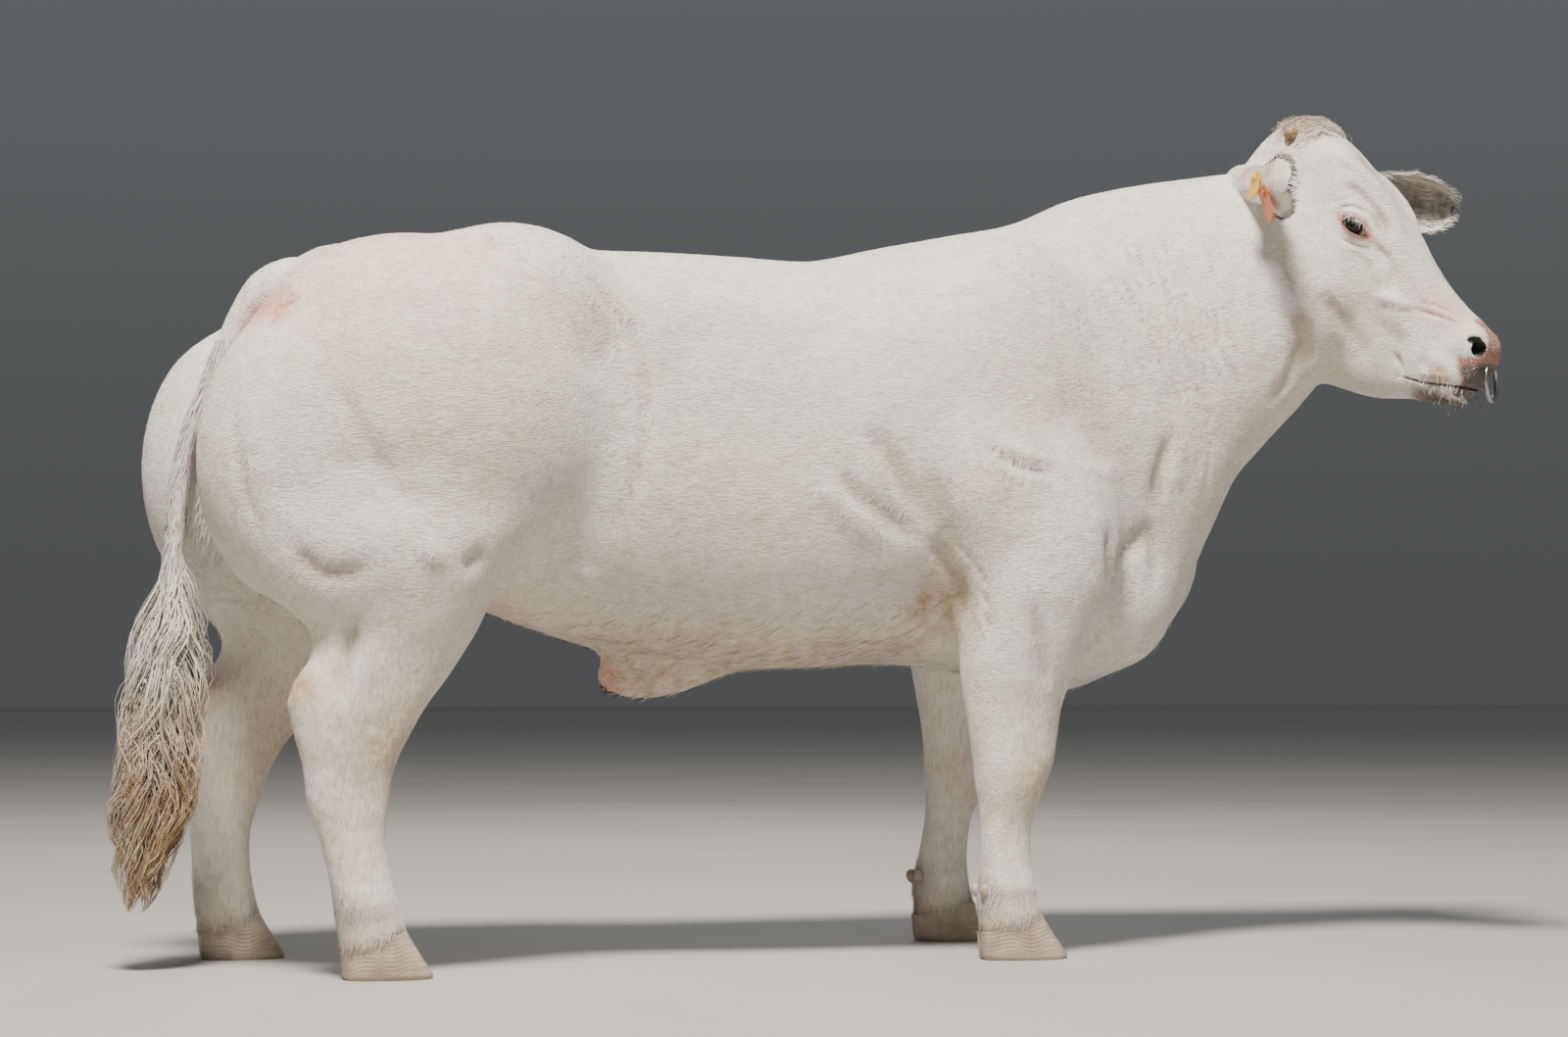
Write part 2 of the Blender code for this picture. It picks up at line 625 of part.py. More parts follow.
# Legs part from the trunk by flat cuts, below the knee and hock again, and from the claws
FORE_TOP, FORE_MID = 0.436, 0.262
HIND_TOP, HIND_MID = 0.520, 0.352
CORONET_TILT = radians(-16)
FEET = {
    "foreleg_right": (0.462, -0.190, 0.062),
    "foreleg_left": (0.484, 0.190, 0.062),
    "hindleg_right": (-0.606, -0.210, 0.062),
    "hindleg_left": (-0.777, 0.210, 0.062),
}
CORONET_TURN = Matrix.Rotation(CORONET_TILT, 3, "Y")
for sign in (-1, 1):
    boolean(bull, box_cutter("cut", (0.505, sign * 0.195, FORE_TOP), (0.34, 0.23, GAP)))
    boolean(bull, box_cutter("cut", (0.480, sign * 0.195, FORE_MID), (0.34, 0.30, GAP)))
    boolean(bull, box_cutter("cut", (-0.620, sign * 0.195, HIND_TOP), (0.50, 0.27, GAP)))
    boolean(bull, box_cutter("cut", (-0.700, sign * 0.200, HIND_MID), (0.50, 0.30, GAP)))
neck = copy_of(bull, "neck")
cut_plane(neck, NECK_CUT[0] + NECK_CUT[1] * GAP, -NECK_CUT[1])
cut_plane(bull, NECK_CUT[0], NECK_CUT[1])

nodes = {"head": clean(head), "neck": clean(neck)}
for middle, mesh in loose_parts(bull):
    end = "foreleg" if middle[0] > 0 else "hindleg"
    side = "right" if middle[1] < 0 else "left"
    part_way = FORE_MID if end == "foreleg" else HIND_MID
    top = FORE_TOP if end == "foreleg" else HIND_TOP
    if len(mesh.vertices) < 30:
        continue
    name = "torso"
    if abs(middle[1]) > 0.1 and middle[2] < top:
        name = f"{end}_{side}_{'upper' if middle[2] > part_way else 'lower'}"
    made = bpy.data.objects.new(name, mesh)
    ROUGH.objects.link(made)
    nodes[name] = clean(made)
bpy.data.objects.remove(bull, do_unlink=True)
torso = nodes["torso"]
for leg, foot in FEET.items():
    cut_plane(nodes[f"{leg}_lower"], Vector(foot), CORONET_TURN @ Vector((0, 0, -1)))

# Claws: D-shaped sections, the flat side towards the other claw. z, back and front from the foot's
# middle, width
CLAW = [
    (0.000, -0.052, 0.098, 0.050),
    (0.014, -0.054, 0.090, 0.051),
    (0.040, -0.056, 0.072, 0.049),
    (0.065, -0.058, 0.056, 0.045),
    (0.095, -0.058, 0.040, 0.042),
]
CLAW_ARC = 9
for leg, (fx, fy, fz) in FEET.items():
    stretch = 1.0 if leg.startswith("fore") else 0.94
    for side in (-1, 1):
        rings = []
        for z, back, front, wide in CLAW:
            half, mid = (front - back) / 2 * stretch, (front + back) / 2 * stretch
            ring = []
            for k in range(CLAW_ARC):
                t = pi * k / (CLAW_ARC - 1)
                bow = wide * sin(t) ** 0.75 * (0.92 + 0.08 * cos(t))
                ring.append(Vector((fx + mid + half * cos(t), fy + side * (0.0015 + bow), z)))
            for share in (-0.5, 0.3):
                ring.append(Vector((fx + mid + half * share, fy + side * 0.0015, z)))
            rings.append(ring)
        outer = (side > 0) == (fy > 0)
        claw = tube(f"claw_{leg}_{'outer' if outer else 'inner'}", rings)
        plane = Vector((fx, fy, fz)) - CORONET_TURN @ Vector((0, 0, GAP))
        cut_plane(claw, plane, CORONET_TURN @ Vector((0, 0, 1)))
        keep(clean(claw), claw.name, HORN)
        leg_form = inflated(nodes[f"{leg}_lower"], "leg_form", 2 * GAP)
        spur = ellipsoid("spur", (fx - 0.062 * stretch, fy + side * 0.022, 0.112), (0.016, 0.0115, 0.019),
                         Matrix.Rotation(radians(-25), 3, "Y"), 10, PARTS)
        boolean(spur, leg_form)
        keep(clean(spur), f"dewclaw_{leg}_{'outer' if outer else 'inner'}", HORN)
        bpy.data.objects.remove(leg_form, do_unlink=True)

# Eyes, sockets, the openings between the lids, nostrils and the line of the mouth
head_turn = Matrix([HEAD_AXIS, HEAD_LEFT, HEAD_UP]).transposed()
for sign, side in ((-1, "right"), (1, "left")):
    centre = head_point(EYE[0], sign * EYE[1], EYE[2])
    boolean(head, ellipsoid("socket", centre, [EYE_RADIUS + GAP] * 3, segments=16))
    turn = head_turn @ Matrix.Rotation(radians(-4), 3, "Y") @ Matrix.Rotation(sign * radians(12), 3, "Z")
    opening = head_point(EYE[0] + 0.001, sign * (EYE[1] + 0.018), EYE[2] - 0.001)
    boolean(head, ellipsoid("fissure", opening, (0.0235, 0.0160, 0.0105), turn, 14))
    keep(ellipsoid("eye", centre, [EYE_RADIUS] * 3, segments=16, collection=PARTS), f"eye_{side}", EYE_SKIN)
    inward = -(HEAD_AXIS * 0.60 + HEAD_LEFT * sign * 0.80)
    place = nearest_surface(head_point(NOSTRIL[0], sign * NOSTRIL[1], NOSTRIL[2]), inward)
    turn = Matrix([inward.cross(HEAD_UP), inward, HEAD_UP]).transposed()
    turn = turn @ Matrix.Rotation(sign * radians(30), 3, "Y")
    boolean(head, ellipsoid("nostril", place, (0.0150, 0.0160, 0.0085), turn, 12))

half_mouth = []
for a, c in MOUTH:
    half_mouth.append(nearest_surface(head_point(a, -0.05, c), HEAD_LEFT))
front = nearest_surface(head_point(0.48, 0, MOUTH[-1][1] + 0.002), -HEAD_AXIS)
mirror_mouth = []
for p in reversed(half_mouth):
    a, b, c = to_head(np.array([p]))[0]
    mirror_mouth.append(head_point(a, -b, c))
mouth_path = half_mouth + [front] + mirror_mouth
mouth_sizes = [(0.006, 0.0012)] + [(0.008, 0.0022)] * (len(mouth_path) - 2) + [(0.006, 0.0012)]
boolean(head, path_tube("mouth", mouth_path, mouth_sizes, 6, HEAD_UP, CUTTERS))

# Nose ring: through the wall between the nostrils, hanging plumb before the lips
RING, RING_WIRE = 0.034, 0.0043
ring_centre = head_point(0.529, 0, -0.208)
boolean(head, torus("ring_tunnel", ring_centre, HEAD_LEFT, Vector((0, 0, -1)), RING, RING_WIRE + 0.0008,
                    24, 6, CUTTERS))
ring = torus("nose_ring", ring_centre, HEAD_LEFT, Vector((0, 0, -1)), RING, RING_WIRE, 24, 6)
keep(ring, "nose_ring", STEEL)

# Horn buds
head_form = inflated(head, "head_form", 2 * GAP)
neck_form = inflated(nodes["neck"], "neck_form", 2 * GAP)
for sign, side in ((-1, "right"), (1, "left")):
    corner = head_point(-0.002, sign * 0.073, -0.045)
    bud = ellipsoid("bud", corner, (0.0115, 0.016, 0.0125), head_turn, 10, PARTS)
    boolean(bud, head_form)
    keep(clean(bud), f"horn_bud_{side}", BUD)

# Ears: a leaf rolled towards its root. Where it grows, which way, and which way its cup opens
EAR_LENGTH, EAR_WIDTH, EAR_ROOT_WIDTH, EAR_THICK = 0.235, 0.068, 0.088, 0.0075
EAR_ROOT_ROLL, EAR_TIP_ROLL = 130, 55


def head_way(a, b, c):
    return HEAD_AXIS * a + HEAD_LEFT * b + HEAD_UP * c


EARS = {
    "right": (head_point(-0.011, -0.127, -0.171), head_way(0.60, -0.755, 0.237), head_way(0.50, 0.72, 0.47)),
    "left": (head_point(0.048, 0.105, -0.095), head_way(0.80, 0.46, 0.38), head_way(0.57, -0.82, 0.04)),
}


def ear_roll(u):
    """Half the angle that the ear is rolled through, which is open from 0.6 of its length on."""
    return radians(EAR_ROOT_ROLL + (EAR_TIP_ROLL - EAR_ROOT_ROLL) * min(1, u / 0.6))


def ear_point(frame, u, v, lift):
    """u runs from the root to the tip, v from edge to edge; lift is towards the open side."""
    root, along, opening, side = frame
    half = EAR_WIDTH * (1 - abs((u - 0.50) / 0.505) ** 2.5) ** 0.5
    half = max(half, EAR_ROOT_WIDTH * (1 - u / 0.45), 0.008)
    radius = half / ear_roll(u)
    angle = ear_roll(u) * v
    middle = root + along * EAR_LENGTH * u
    out = side * (radius - lift) * sin(angle) + opening * ((radius - lift) * (1 - cos(angle)) + lift)
    return middle + out


def ear_frame(side):
    root, along, opening = EARS[side]
    along = along.normalized()
    opening = (opening - along * opening.dot(along)).normalized()
    return root, along, opening, along.cross(opening)


EAR_ROWS, EAR_COLUMNS, EAR_SUNK = 10, 8, 0.32
ears = {}
for ear_side in EARS:
    frame = ear_frame(ear_side)
    rings = []
    for i in range(EAR_ROWS):
        u = (1 + EAR_SUNK) * i / (EAR_ROWS - 1) - EAR_SUNK
        ring = []
        for k in range(EAR_COLUMNS + 1):
            v = -1 + 2 * k / EAR_COLUMNS
            ring.append(ear_point(frame, max(u, 0.0), v, 0.0) + frame[1] * EAR_LENGTH * min(u, 0))
        for k in range(EAR_COLUMNS + 1):
            v = 0.96 * (1 - 2 * k / EAR_COLUMNS)
            thick = EAR_THICK * (1 - 0.45 * abs(v)) * (1 - 0.35 * max(u, 0))
            ring.append(ear_point(frame, max(u, 0.0), v, thick) + frame[1] * EAR_LENGTH * min(u, 0))
        rings.append(ring)
    ear = tube("ear", rings)
    boolean(ear, head_form)
    boolean(ear, neck_form)
    ears[ear_side] = keep(clean(ear), f"ear_{ear_side}", HAIR)

# Ear tags on the right ear: a plate on a stud with its button, and a pair of plates on a stud. They
# hang a little forward of plumb, square to the ear where the stud goes through it
TAG_THICK, STUD, BUTTON = 0.0022, 0.003, 0.011
BACK_OFF, FRONT_OFF = 0.008, 0.0185
frame = ear_frame("right")


def tag(name, u, v, back_size, front_size, skin):
    root, along, opening, side = frame
    angle = ear_roll(u) * v
    out = side * sin(angle) - opening * cos(angle)
    down = Vector((0, 0, -1)) + HEAD_AXIS * 0.5
    down = (down - out * down.dot(out)).normalized()
    turn = Matrix([out.cross(down), down, out]).transposed()
    at = ear_point(frame, u, v, 0.0)
    back, front = at + out * BACK_OFF, at - out * FRONT_OFF
    made = box_cutter("plate", back + down * back_size[1] * 0.3, (*back_size, TAG_THICK), turn)
    stud = path_tube("stud", [back, front], [(STUD, STUD)] * 2, 8, down, CUTTERS)
    boolean(made, stud, "UNION")
    if front_size:
        other = box_cutter("plate", front + down * front_size[1] * 0.3, (*front_size, TAG_THICK), turn)
    else:
        other = path_tube("button", [front + out * 0.001, front - out * 0.0015], [(BUTTON, BUTTON)] * 2, 10,
                          down, CUTTERS)
    boolean(made, other, "UNION")
    keep(clean(made), name, skin)
    boolean(ears["right"], inflated(made, "tag_form", 2 * GAP))


tag("ear_tag_orange", 0.64, -0.16, (0.040, 0.062), None, ORANGE)
tag("ear_tag_yellow", 0.46, 0.20, (0.036, 0.044), (0.044, 0.058), YELLOW)

# Tail: the dock down to where the long hair starts. x, z of its middle, half its thickness
DOCK = [
    (-0.650, 1.085, 0.046),
    (-0.705, 1.107, 0.046),
    (-0.748, 1.096, 0.043),
    (-0.785, 1.050, 0.033),
    (-0.815, 0.990, 0.027),
    (-0.838, 0.946, 0.021),
    (-0.857, 0.904, 0.0175),
    (-0.8735, 0.864, 0.015),
    (-0.884, 0.822, 0.014),
    (-0.891, 0.767, 0.014),
    (-0.8955, 0.706, 0.0155),
    (-0.899, 0.640, 0.0175),
]
SWITCH_TOP = 0.655
dock = path_tube("tail", [(x, 0, z) for x, z, r in DOCK], [(r, r) for x, z, r in DOCK], 12, (0, 1, 0))
torso_form = inflated(torso, "torso_form", 2 * GAP)
boolean(dock, torso_form)
cut_plane(dock, (0, 0, SWITCH_TOP), (0, 0, -1))
keep(clean(dock), "tail", HAIR)

# Switch: a core and bent flat locks that overlap on it. x, z, half its thickness
CORE = [
    (-0.898, 0.670, 0.0170),
    (-0.902, 0.600, 0.024),
    (-0.904, 0.540, 0.030),
    (-0.908, 0.470, 0.032),
    (-0.914, 0.380, 0.032),
    (-0.922, 0.290, 0.028),
    (-0.934, 0.210, 0.018),
    (-0.945, 0.150, 0.006),
]
core_points = [(x, 0, z) for x, z, r in CORE]
switch = path_tube("switch", core_points, [(r * 0.85, r) for x, z, r in CORE], 10, (0, 1, 0))
LOCKS, LOCK_RINGS = 26, 5
locks = []
for i in range(LOCKS):
    share = (i + 0.5) / LOCKS
    turn = i * 2.399963
    top = 0.640 - 0.40 * share
    length = 0.30 + 0.05 * sin(i * 1.7)
    bottom = max(top - length, 0.085 + 0.02 * (1 + sin(i * 2.3)))
    swell = 0.050 + 0.018 * sin(i * 3.1)
    phase = i * 1.3
    points, sizes = [], []
    for k in range(LOCK_RINGS):
        t = k / (LOCK_RINGS - 1)
        z = top + (bottom - top) * t
        core_x = float(along_column(z, [c[1] for c in CORE], [c[0] for c in CORE]))
        core_r = float(along_column(z, [c[1] for c in CORE], [c[2] for c in CORE]))
        away = core_r * 0.7 * (1 - t) + swell * (t * (1.3 - 0.5 * t))
        wave = 0.008 * sin(phase + 9 * t) * min(1, 3 * t)
        points.append(Vector((core_x + (away + wave) * cos(turn), 0.85 * (away + wave) * sin(turn), z)))
        taper = (1 - t) ** 0.6
        sizes.append((0.0165 * taper + 0.0012, 0.006 * taper + 0.0010))
    locks.append(path_tube("lock", points, sizes, 5, (cos(turn), sin(turn), 0.001), CUTTERS))
lock_set = bpy.data.collections.new("locks")
bpy.context.scene.collection.children.link(lock_set)
for lock in locks:
    CUTTERS.objects.unlink(lock)
    lock_set.objects.link(lock)
fuse = switch.modifiers.new("locks", "BOOLEAN")
fuse.operation = "UNION"
fuse.operand_type = "COLLECTION"
fuse.collection = lock_set
fuse.solver = "MANIFOLD"
finish_modifiers(switch)
cut_plane(switch, (0, 0, SWITCH_TOP - GAP), (0, 0, 1))
keep(clean(switch), "tail_switch", SWITCH_HAIR)

# Scrotum
bag = ellipsoid("scrotum", (-0.545, 0, 0.540), (0.048, 0.055, 0.095), segments=14, collection=PARTS)
boolean(bag, torso_form)
keep(clean(bag), "scrotum", HAIR)

for name, made in nodes.items():
    keep(made, name, HAIR)
for made in list(lock_set.objects) + list(CUTTERS.objects) + list(ROUGH.objects):
    bpy.data.objects.remove(made, do_unlink=True)
for made in PARTS.objects:
    made.data.transform(Matrix.Translation(SHIFT))
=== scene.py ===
from math import cos, pi, radians, sin

import bmesh
import bpy
import numpy as np
from mathutils import Matrix, Vector


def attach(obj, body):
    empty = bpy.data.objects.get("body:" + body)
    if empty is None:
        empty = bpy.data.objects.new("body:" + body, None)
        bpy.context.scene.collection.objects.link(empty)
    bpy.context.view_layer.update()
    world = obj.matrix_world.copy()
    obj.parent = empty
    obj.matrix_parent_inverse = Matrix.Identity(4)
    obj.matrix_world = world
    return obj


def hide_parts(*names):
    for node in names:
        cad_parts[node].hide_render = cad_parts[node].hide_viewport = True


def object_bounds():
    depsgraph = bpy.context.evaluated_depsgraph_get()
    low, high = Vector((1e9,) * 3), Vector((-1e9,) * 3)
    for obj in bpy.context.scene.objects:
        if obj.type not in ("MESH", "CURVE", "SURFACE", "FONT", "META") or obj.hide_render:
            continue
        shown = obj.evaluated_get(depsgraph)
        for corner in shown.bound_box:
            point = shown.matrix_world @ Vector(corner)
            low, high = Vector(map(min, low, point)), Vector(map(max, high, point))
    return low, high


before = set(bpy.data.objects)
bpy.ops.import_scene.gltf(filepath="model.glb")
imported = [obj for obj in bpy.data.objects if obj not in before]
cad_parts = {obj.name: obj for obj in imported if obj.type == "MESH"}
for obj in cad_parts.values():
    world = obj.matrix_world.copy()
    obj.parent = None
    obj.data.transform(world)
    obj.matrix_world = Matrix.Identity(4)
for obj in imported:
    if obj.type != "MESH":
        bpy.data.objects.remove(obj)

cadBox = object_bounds()
shift = np.array([-0.184, 0.030, 0.0])  # from the drawing's zero to the middle of the finished bull

# The body's form, with the same stations and muscles as the solids, in metres in the drawing's frame.
# trunk: x, y of the middle, z of the top, z where it is widest, z of the bottom, half the width, and
# how square the section is above and below
body = {
    "trunk": [
        (-0.785, 0.000, 1.040, 0.950, 0.860, 0.030, 2.0, 2.0),
        (-0.750, 0.000, 1.112, 0.950, 0.740, 0.090, 2.0, 2.0),
        (-0.690, 0.000, 1.162, 0.960, 0.640, 0.150, 2.0, 2.0),
        (-0.600, 0.000, 1.180, 0.960, 0.600, 0.195, 2.1, 2.0),
        (-0.500, 0.000, 1.184, 0.950, 0.590, 0.222, 2.3, 2.1),
        (-0.400, 0.000, 1.182, 0.930, 0.575, 0.230, 2.5, 2.2),
        (-0.280, 0.000, 1.180, 0.880, 0.535, 0.225, 2.7, 2.2),
        (-0.150, 0.000, 1.176, 0.850, 0.500, 0.232, 2.7, 2.2),
        (0.000, 0.000, 1.172, 0.830, 0.480, 0.247, 2.6, 2.2),
        (0.150, 0.000, 1.178, 0.820, 0.482, 0.260, 2.4, 2.2),
        (0.300, 0.000, 1.212, 0.830, 0.488, 0.265, 2.1, 2.2),
        (0.420, 0.000, 1.238, 0.840, 0.480, 0.252, 1.9, 2.3),
        (0.550, 0.000, 1.268, 0.860, 0.456, 0.228, 1.8, 2.2),
        (0.650, -0.003, 1.312, 0.890, 0.446, 0.198, 1.8, 2.0),
        (0.740, -0.015, 1.336, 0.930, 0.495, 0.172, 1.8, 1.8),
        (0.820, -0.032, 1.350, 0.980, 0.575, 0.155, 1.9, 1.8),
        (0.880, -0.050, 1.358, 1.030, 0.700, 0.143, 1.9, 1.8),
        (0.920, -0.064, 1.363, 1.070, 0.795, 0.136, 1.9, 1.9),
        (0.970, -0.082, 1.366, 1.110, 0.862, 0.127, 1.9, 2.0),
        (1.030, -0.108, 1.366, 1.150, 0.932, 0.113, 1.9, 2.0),
        (1.080, -0.130, 1.340, 1.180, 0.995, 0.097, 2.0, 2.0),
        (1.120, -0.150, 1.295, 1.190, 1.040, 0.065, 2.0, 2.0),
    ],
    # legs: z, y of the middle, x of the front, x where it is widest, x of the back, half the width,
    # and how square the section is in front and behind
    "foreLeg": [
        (0.800, 0.165, 0.640, 0.500, 0.370, 0.080, 2.0, 2.0),
        (0.700, 0.178, 0.655, 0.505, 0.360, 0.100, 2.0, 2.0),
        (0.623, 0.185, 0.640, 0.500, 0.366, 0.100, 2.1, 2.0),
        (0.560, 0.188, 0.612, 0.490, 0.371, 0.089, 2.2, 2.0),
        (0.517, 0.190, 0.595, 0.485, 0.373, 0.080, 2.2, 2.0),
        (0.467, 0.190, 0.572, 0.475, 0.375, 0.070, 2.2, 2.0),
        (0.423, 0.190, 0.554, 0.468, 0.380, 0.062, 2.2, 2.0),
        (0.375, 0.190, 0.545, 0.466, 0.389, 0.057, 2.3, 2.1),
        (0.327, 0.190, 0.536, 0.466, 0.397, 0.056, 2.5, 2.2),
        (0.287, 0.190, 0.521, 0.460, 0.401, 0.053, 2.4, 2.2),
        (0.257, 0.190, 0.510, 0.456, 0.406, 0.046, 2.2, 2.2),
        (0.225, 0.190, 0.499, 0.455, 0.409, 0.039, 2.2, 2.2),
        (0.187, 0.190, 0.497, 0.455, 0.409, 0.037, 2.2, 2.2),
        (0.153, 0.190, 0.499, 0.456, 0.408, 0.041, 2.2, 2.2),
        (0.120, 0.190, 0.503, 0.458, 0.406, 0.049, 2.3, 2.3),
        (0.090, 0.190, 0.510, 0.462, 0.404, 0.047, 2.3, 2.3),
        (0.060, 0.190, 0.518, 0.470, 0.406, 0.048, 2.3, 2.3),
        (0.030, 0.190, 0.526, 0.476, 0.410, 0.048, 2.3, 2.3),
    ],
    "hindLeg": [
        (0.760, 0.170, -0.330, -0.560, -0.800, 0.110, 2.0, 2.0),
        (0.690, 0.185, -0.365, -0.560, -0.800, 0.118, 2.0, 2.0),
        (0.630, 0.192, -0.400, -0.560, -0.785, 0.108, 2.0, 2.0),
        (0.583, 0.198, -0.425, -0.560, -0.760, 0.090, 2.0, 1.8),
        (0.540, 0.202, -0.445, -0.570, -0.717, 0.074, 2.0, 1.6),
        (0.500, 0.205, -0.470, -0.590, -0.712, 0.061, 2.0, 1.6),
        (0.460, 0.207, -0.497, -0.620, -0.737, 0.053, 2.1, 1.8),
        (0.430, 0.208, -0.520, -0.640, -0.746, 0.051, 2.2, 2.0),
        (0.384, 0.209, -0.548, -0.650, -0.738, 0.048, 2.3, 2.1),
        (0.330, 0.210, -0.574, -0.650, -0.723, 0.043, 2.3, 2.2),
        (0.264, 0.210, -0.586, -0.648, -0.713, 0.039, 2.3, 2.2),
        (0.217, 0.210, -0.590, -0.642, -0.696, 0.038, 2.3, 2.2),
        (0.155, 0.210, -0.580, -0.628, -0.680, 0.042, 2.3, 2.2),
        (0.118, 0.210, -0.570, -0.618, -0.672, 0.049, 2.3, 2.3),
        (0.090, 0.210, -0.562, -0.612, -0.668, 0.047, 2.3, 2.3),
        (0.060, 0.210, -0.555, -0.606, -0.664, 0.048, 2.3, 2.3),
        (0.030, 0.210, -0.550, -0.600, -0.660, 0.048, 2.3, 2.3),
    ],
    # how far ahead of the right leg the left one stands, by height
    "foreStep": [(0.0, 0.022), (0.12, 0.026), (0.25, 0.045), (0.45, 0.055), (0.60, 0.030), (0.80, 0.0)],
    "hindStep": [(0, -0.172), (0.12, -0.168), (0.28, -0.140), (0.42, -0.110), (0.52, -0.090), (0.76, -0.050)],
    # muscles of both sides: x, y, z, half sizes, pitch, width of the blend, how far ahead the left lies
    "muscles": [
        (-0.505, 0.122, 0.890, 0.312, 0.190, 0.290, 0, 0.028, -0.030),
        (-0.735, 0.138, 0.812, 0.147, 0.128, 0.228, 0, 0.045, -0.058),
        (-0.365, 0.118, 1.053, 0.190, 0.138, 0.152, 10, 0.028, 0.0),
        (-0.620, 0.110, 1.040, 0.150, 0.090, 0.110, -20, 0.060, 0.0),
        (-0.050, 0.090, 1.050, 0.320, 0.100, 0.103, 0, 0.060, 0.0),
        (0.455, 0.125, 0.985, 0.150, 0.105, 0.235, 20, 0.060, 0.0),
        (0.425, 0.178, 0.780, 0.170, 0.105, 0.145, 15, 0.040, 0.010),
        (0.560, 0.178, 0.720, 0.085, 0.098, 0.165, -8, 0.040, 0.010),
        (0.690, 0.080, 0.610, 0.120, 0.090, 0.130, 0, 0.055, 0.0),
    ],
    # brisket fold, sheath and scrotum, on the middle line
    "midline": [
        (0.800, -0.010, 0.655, 0.085, 0.055, 0.125, 25, 0.045),
        (-0.085, 0.000, 0.490, 0.120, 0.032, 0.055, -12, 0.040),
        (-0.545, 0.000, 0.540, 0.048, 0.055, 0.095, 0, 0.012),
    ],
    # where each foot is cut square to its claws, and how far the cut leans
    "feet": {
        "foreleg_right": (0.462, -0.190, 0.062),
        "foreleg_left": (0.484, 0.190, 0.062),
        "hindleg_right": (-0.606, -0.210, 0.062),
        "hindleg_left": (-0.777, 0.210, 0.062),
    },
    "coronetTilt": radians(-16),
    "coronetSlope": 0.2867,  # the tangent of those 16 degrees
}

# The head has a frame of its own: a from the poll to the muzzle, b to its left, c out of the brow
head = {
    "poll": (1.085, -0.120, 1.460),
    "yaw": radians(-45),
    "pitch": radians(36.5),
    "stations": [
        (-0.056, 0.000, -0.066, -0.135, -0.240, 0.044, 2.0, 2.0),
        (-0.034, 0.000, -0.026, -0.115, -0.290, 0.060, 2.2, 2.0),
        (0.000, 0.000, -0.003, -0.100, -0.330, 0.077, 2.5, 2.0),
        (0.055, 0.000, 0.000, -0.095, -0.366, 0.087, 2.7, 2.0),
        (0.110, 0.000, -0.009, -0.095, -0.386, 0.094, 2.9, 2.0),
        (0.165, 0.000, -0.026, -0.104, -0.393, 0.098, 3.0, 2.0),
        (0.215, 0.000, -0.043, -0.118, -0.391, 0.094, 2.9, 2.0),
        (0.265, 0.000, -0.062, -0.136, -0.382, 0.082, 2.5, 2.0),
        (0.320, 0.000, -0.090, -0.158, -0.367, 0.070, 2.3, 2.0),
        (0.373, 0.000, -0.112, -0.178, -0.349, 0.063, 2.2, 2.1),
        (0.423, 0.000, -0.127, -0.194, -0.317, 0.060, 2.2, 2.3),
        (0.464, 0.000, -0.134, -0.204, -0.292, 0.062, 2.3, 2.4),
        (0.494, 0.000, -0.147, -0.208, -0.272, 0.058, 2.4, 2.4),
        (0.512, 0.000, -0.164, -0.211, -0.255, 0.046, 2.3, 2.3),
        (0.523, 0.000, -0.188, -0.213, -0.238, 0.026, 2.2, 2.2),
    ],
    # brow, cheek muscle, crest of the face, wing of the nostril, upper lip, chin
    "forms": [
        (0.170, 0.062, -0.072, 0.080, 0.032, 0.034, 22, 0.020),
        (0.185, 0.072, -0.262, 0.085, 0.036, 0.095, 10, 0.030),
        (0.290, 0.058, -0.185, 0.085, 0.018, 0.026, 22, 0.020),
        (0.471, 0.036, -0.176, 0.035, 0.031, 0.035, 20, 0.014),
        (0.447, 0.034, -0.228, 0.058, 0.029, 0.026, 8, 0.014),
        (0.476, 0.015, -0.258, 0.032, 0.027, 0.018, 12, 0.012),
    ],
    "eye": (0.197, 0.084, -0.114),
    "eyeRadius": 0.0195,
    "lid": 0.0042,
    # the line between the lips, a and c
    "mouth": [(0.400, -0.287), (0.420, -0.281), (0.440, -0.274),
              (0.466, -0.2615), (0.496, -0.2465), (0.522, -0.233)],
}


def alongColumn(at, xs, ys):
    # cubic Hermite curve through the points (xs, ys), with slopes taken from the neighbours
    xs, ys = np.asarray(xs, float), np.asarray(ys, float)
    if xs[0] > xs[-1]:
        xs, ys = xs[::-1], ys[::-1]
    slope = np.gradient(ys, xs)
    at = np.clip(at, xs[0], xs[-1])
    i = np.clip(np.searchsorted(xs, at) - 1, 0, len(xs) - 2)
    h = xs[i + 1] - xs[i]
    t = (at - xs[i]) / h
    start = (2 * t**3 - 3 * t**2 + 1) * ys[i] + (t**3 - 2 * t**2 + t) * h * slope[i]
    return start + (3 * t**2 - 2 * t**3) * ys[i + 1] + (t**3 - t**2) * h * slope[i + 1]


def blend(a, b, width):
    # union of two distances: the smaller one, with the crease between them filled over the width
    h = np.clip(0.5 + 0.5 * (b - a) / width, 0, 1)
    return b + (a - b) * h - width * h * (1 - h)


def carve(a, b, width):
    # a without b, with the edge rounded over the width
    return -blend(-a, b, width)


def smooth(t, low=0.0, high=1.0):
    # 0 below low, 1 above high, and 3t2 - 2t3 between
    t = np.clip((t - low) / (high - low), 0, 1)
    return t * t * (3 - 2 * t)


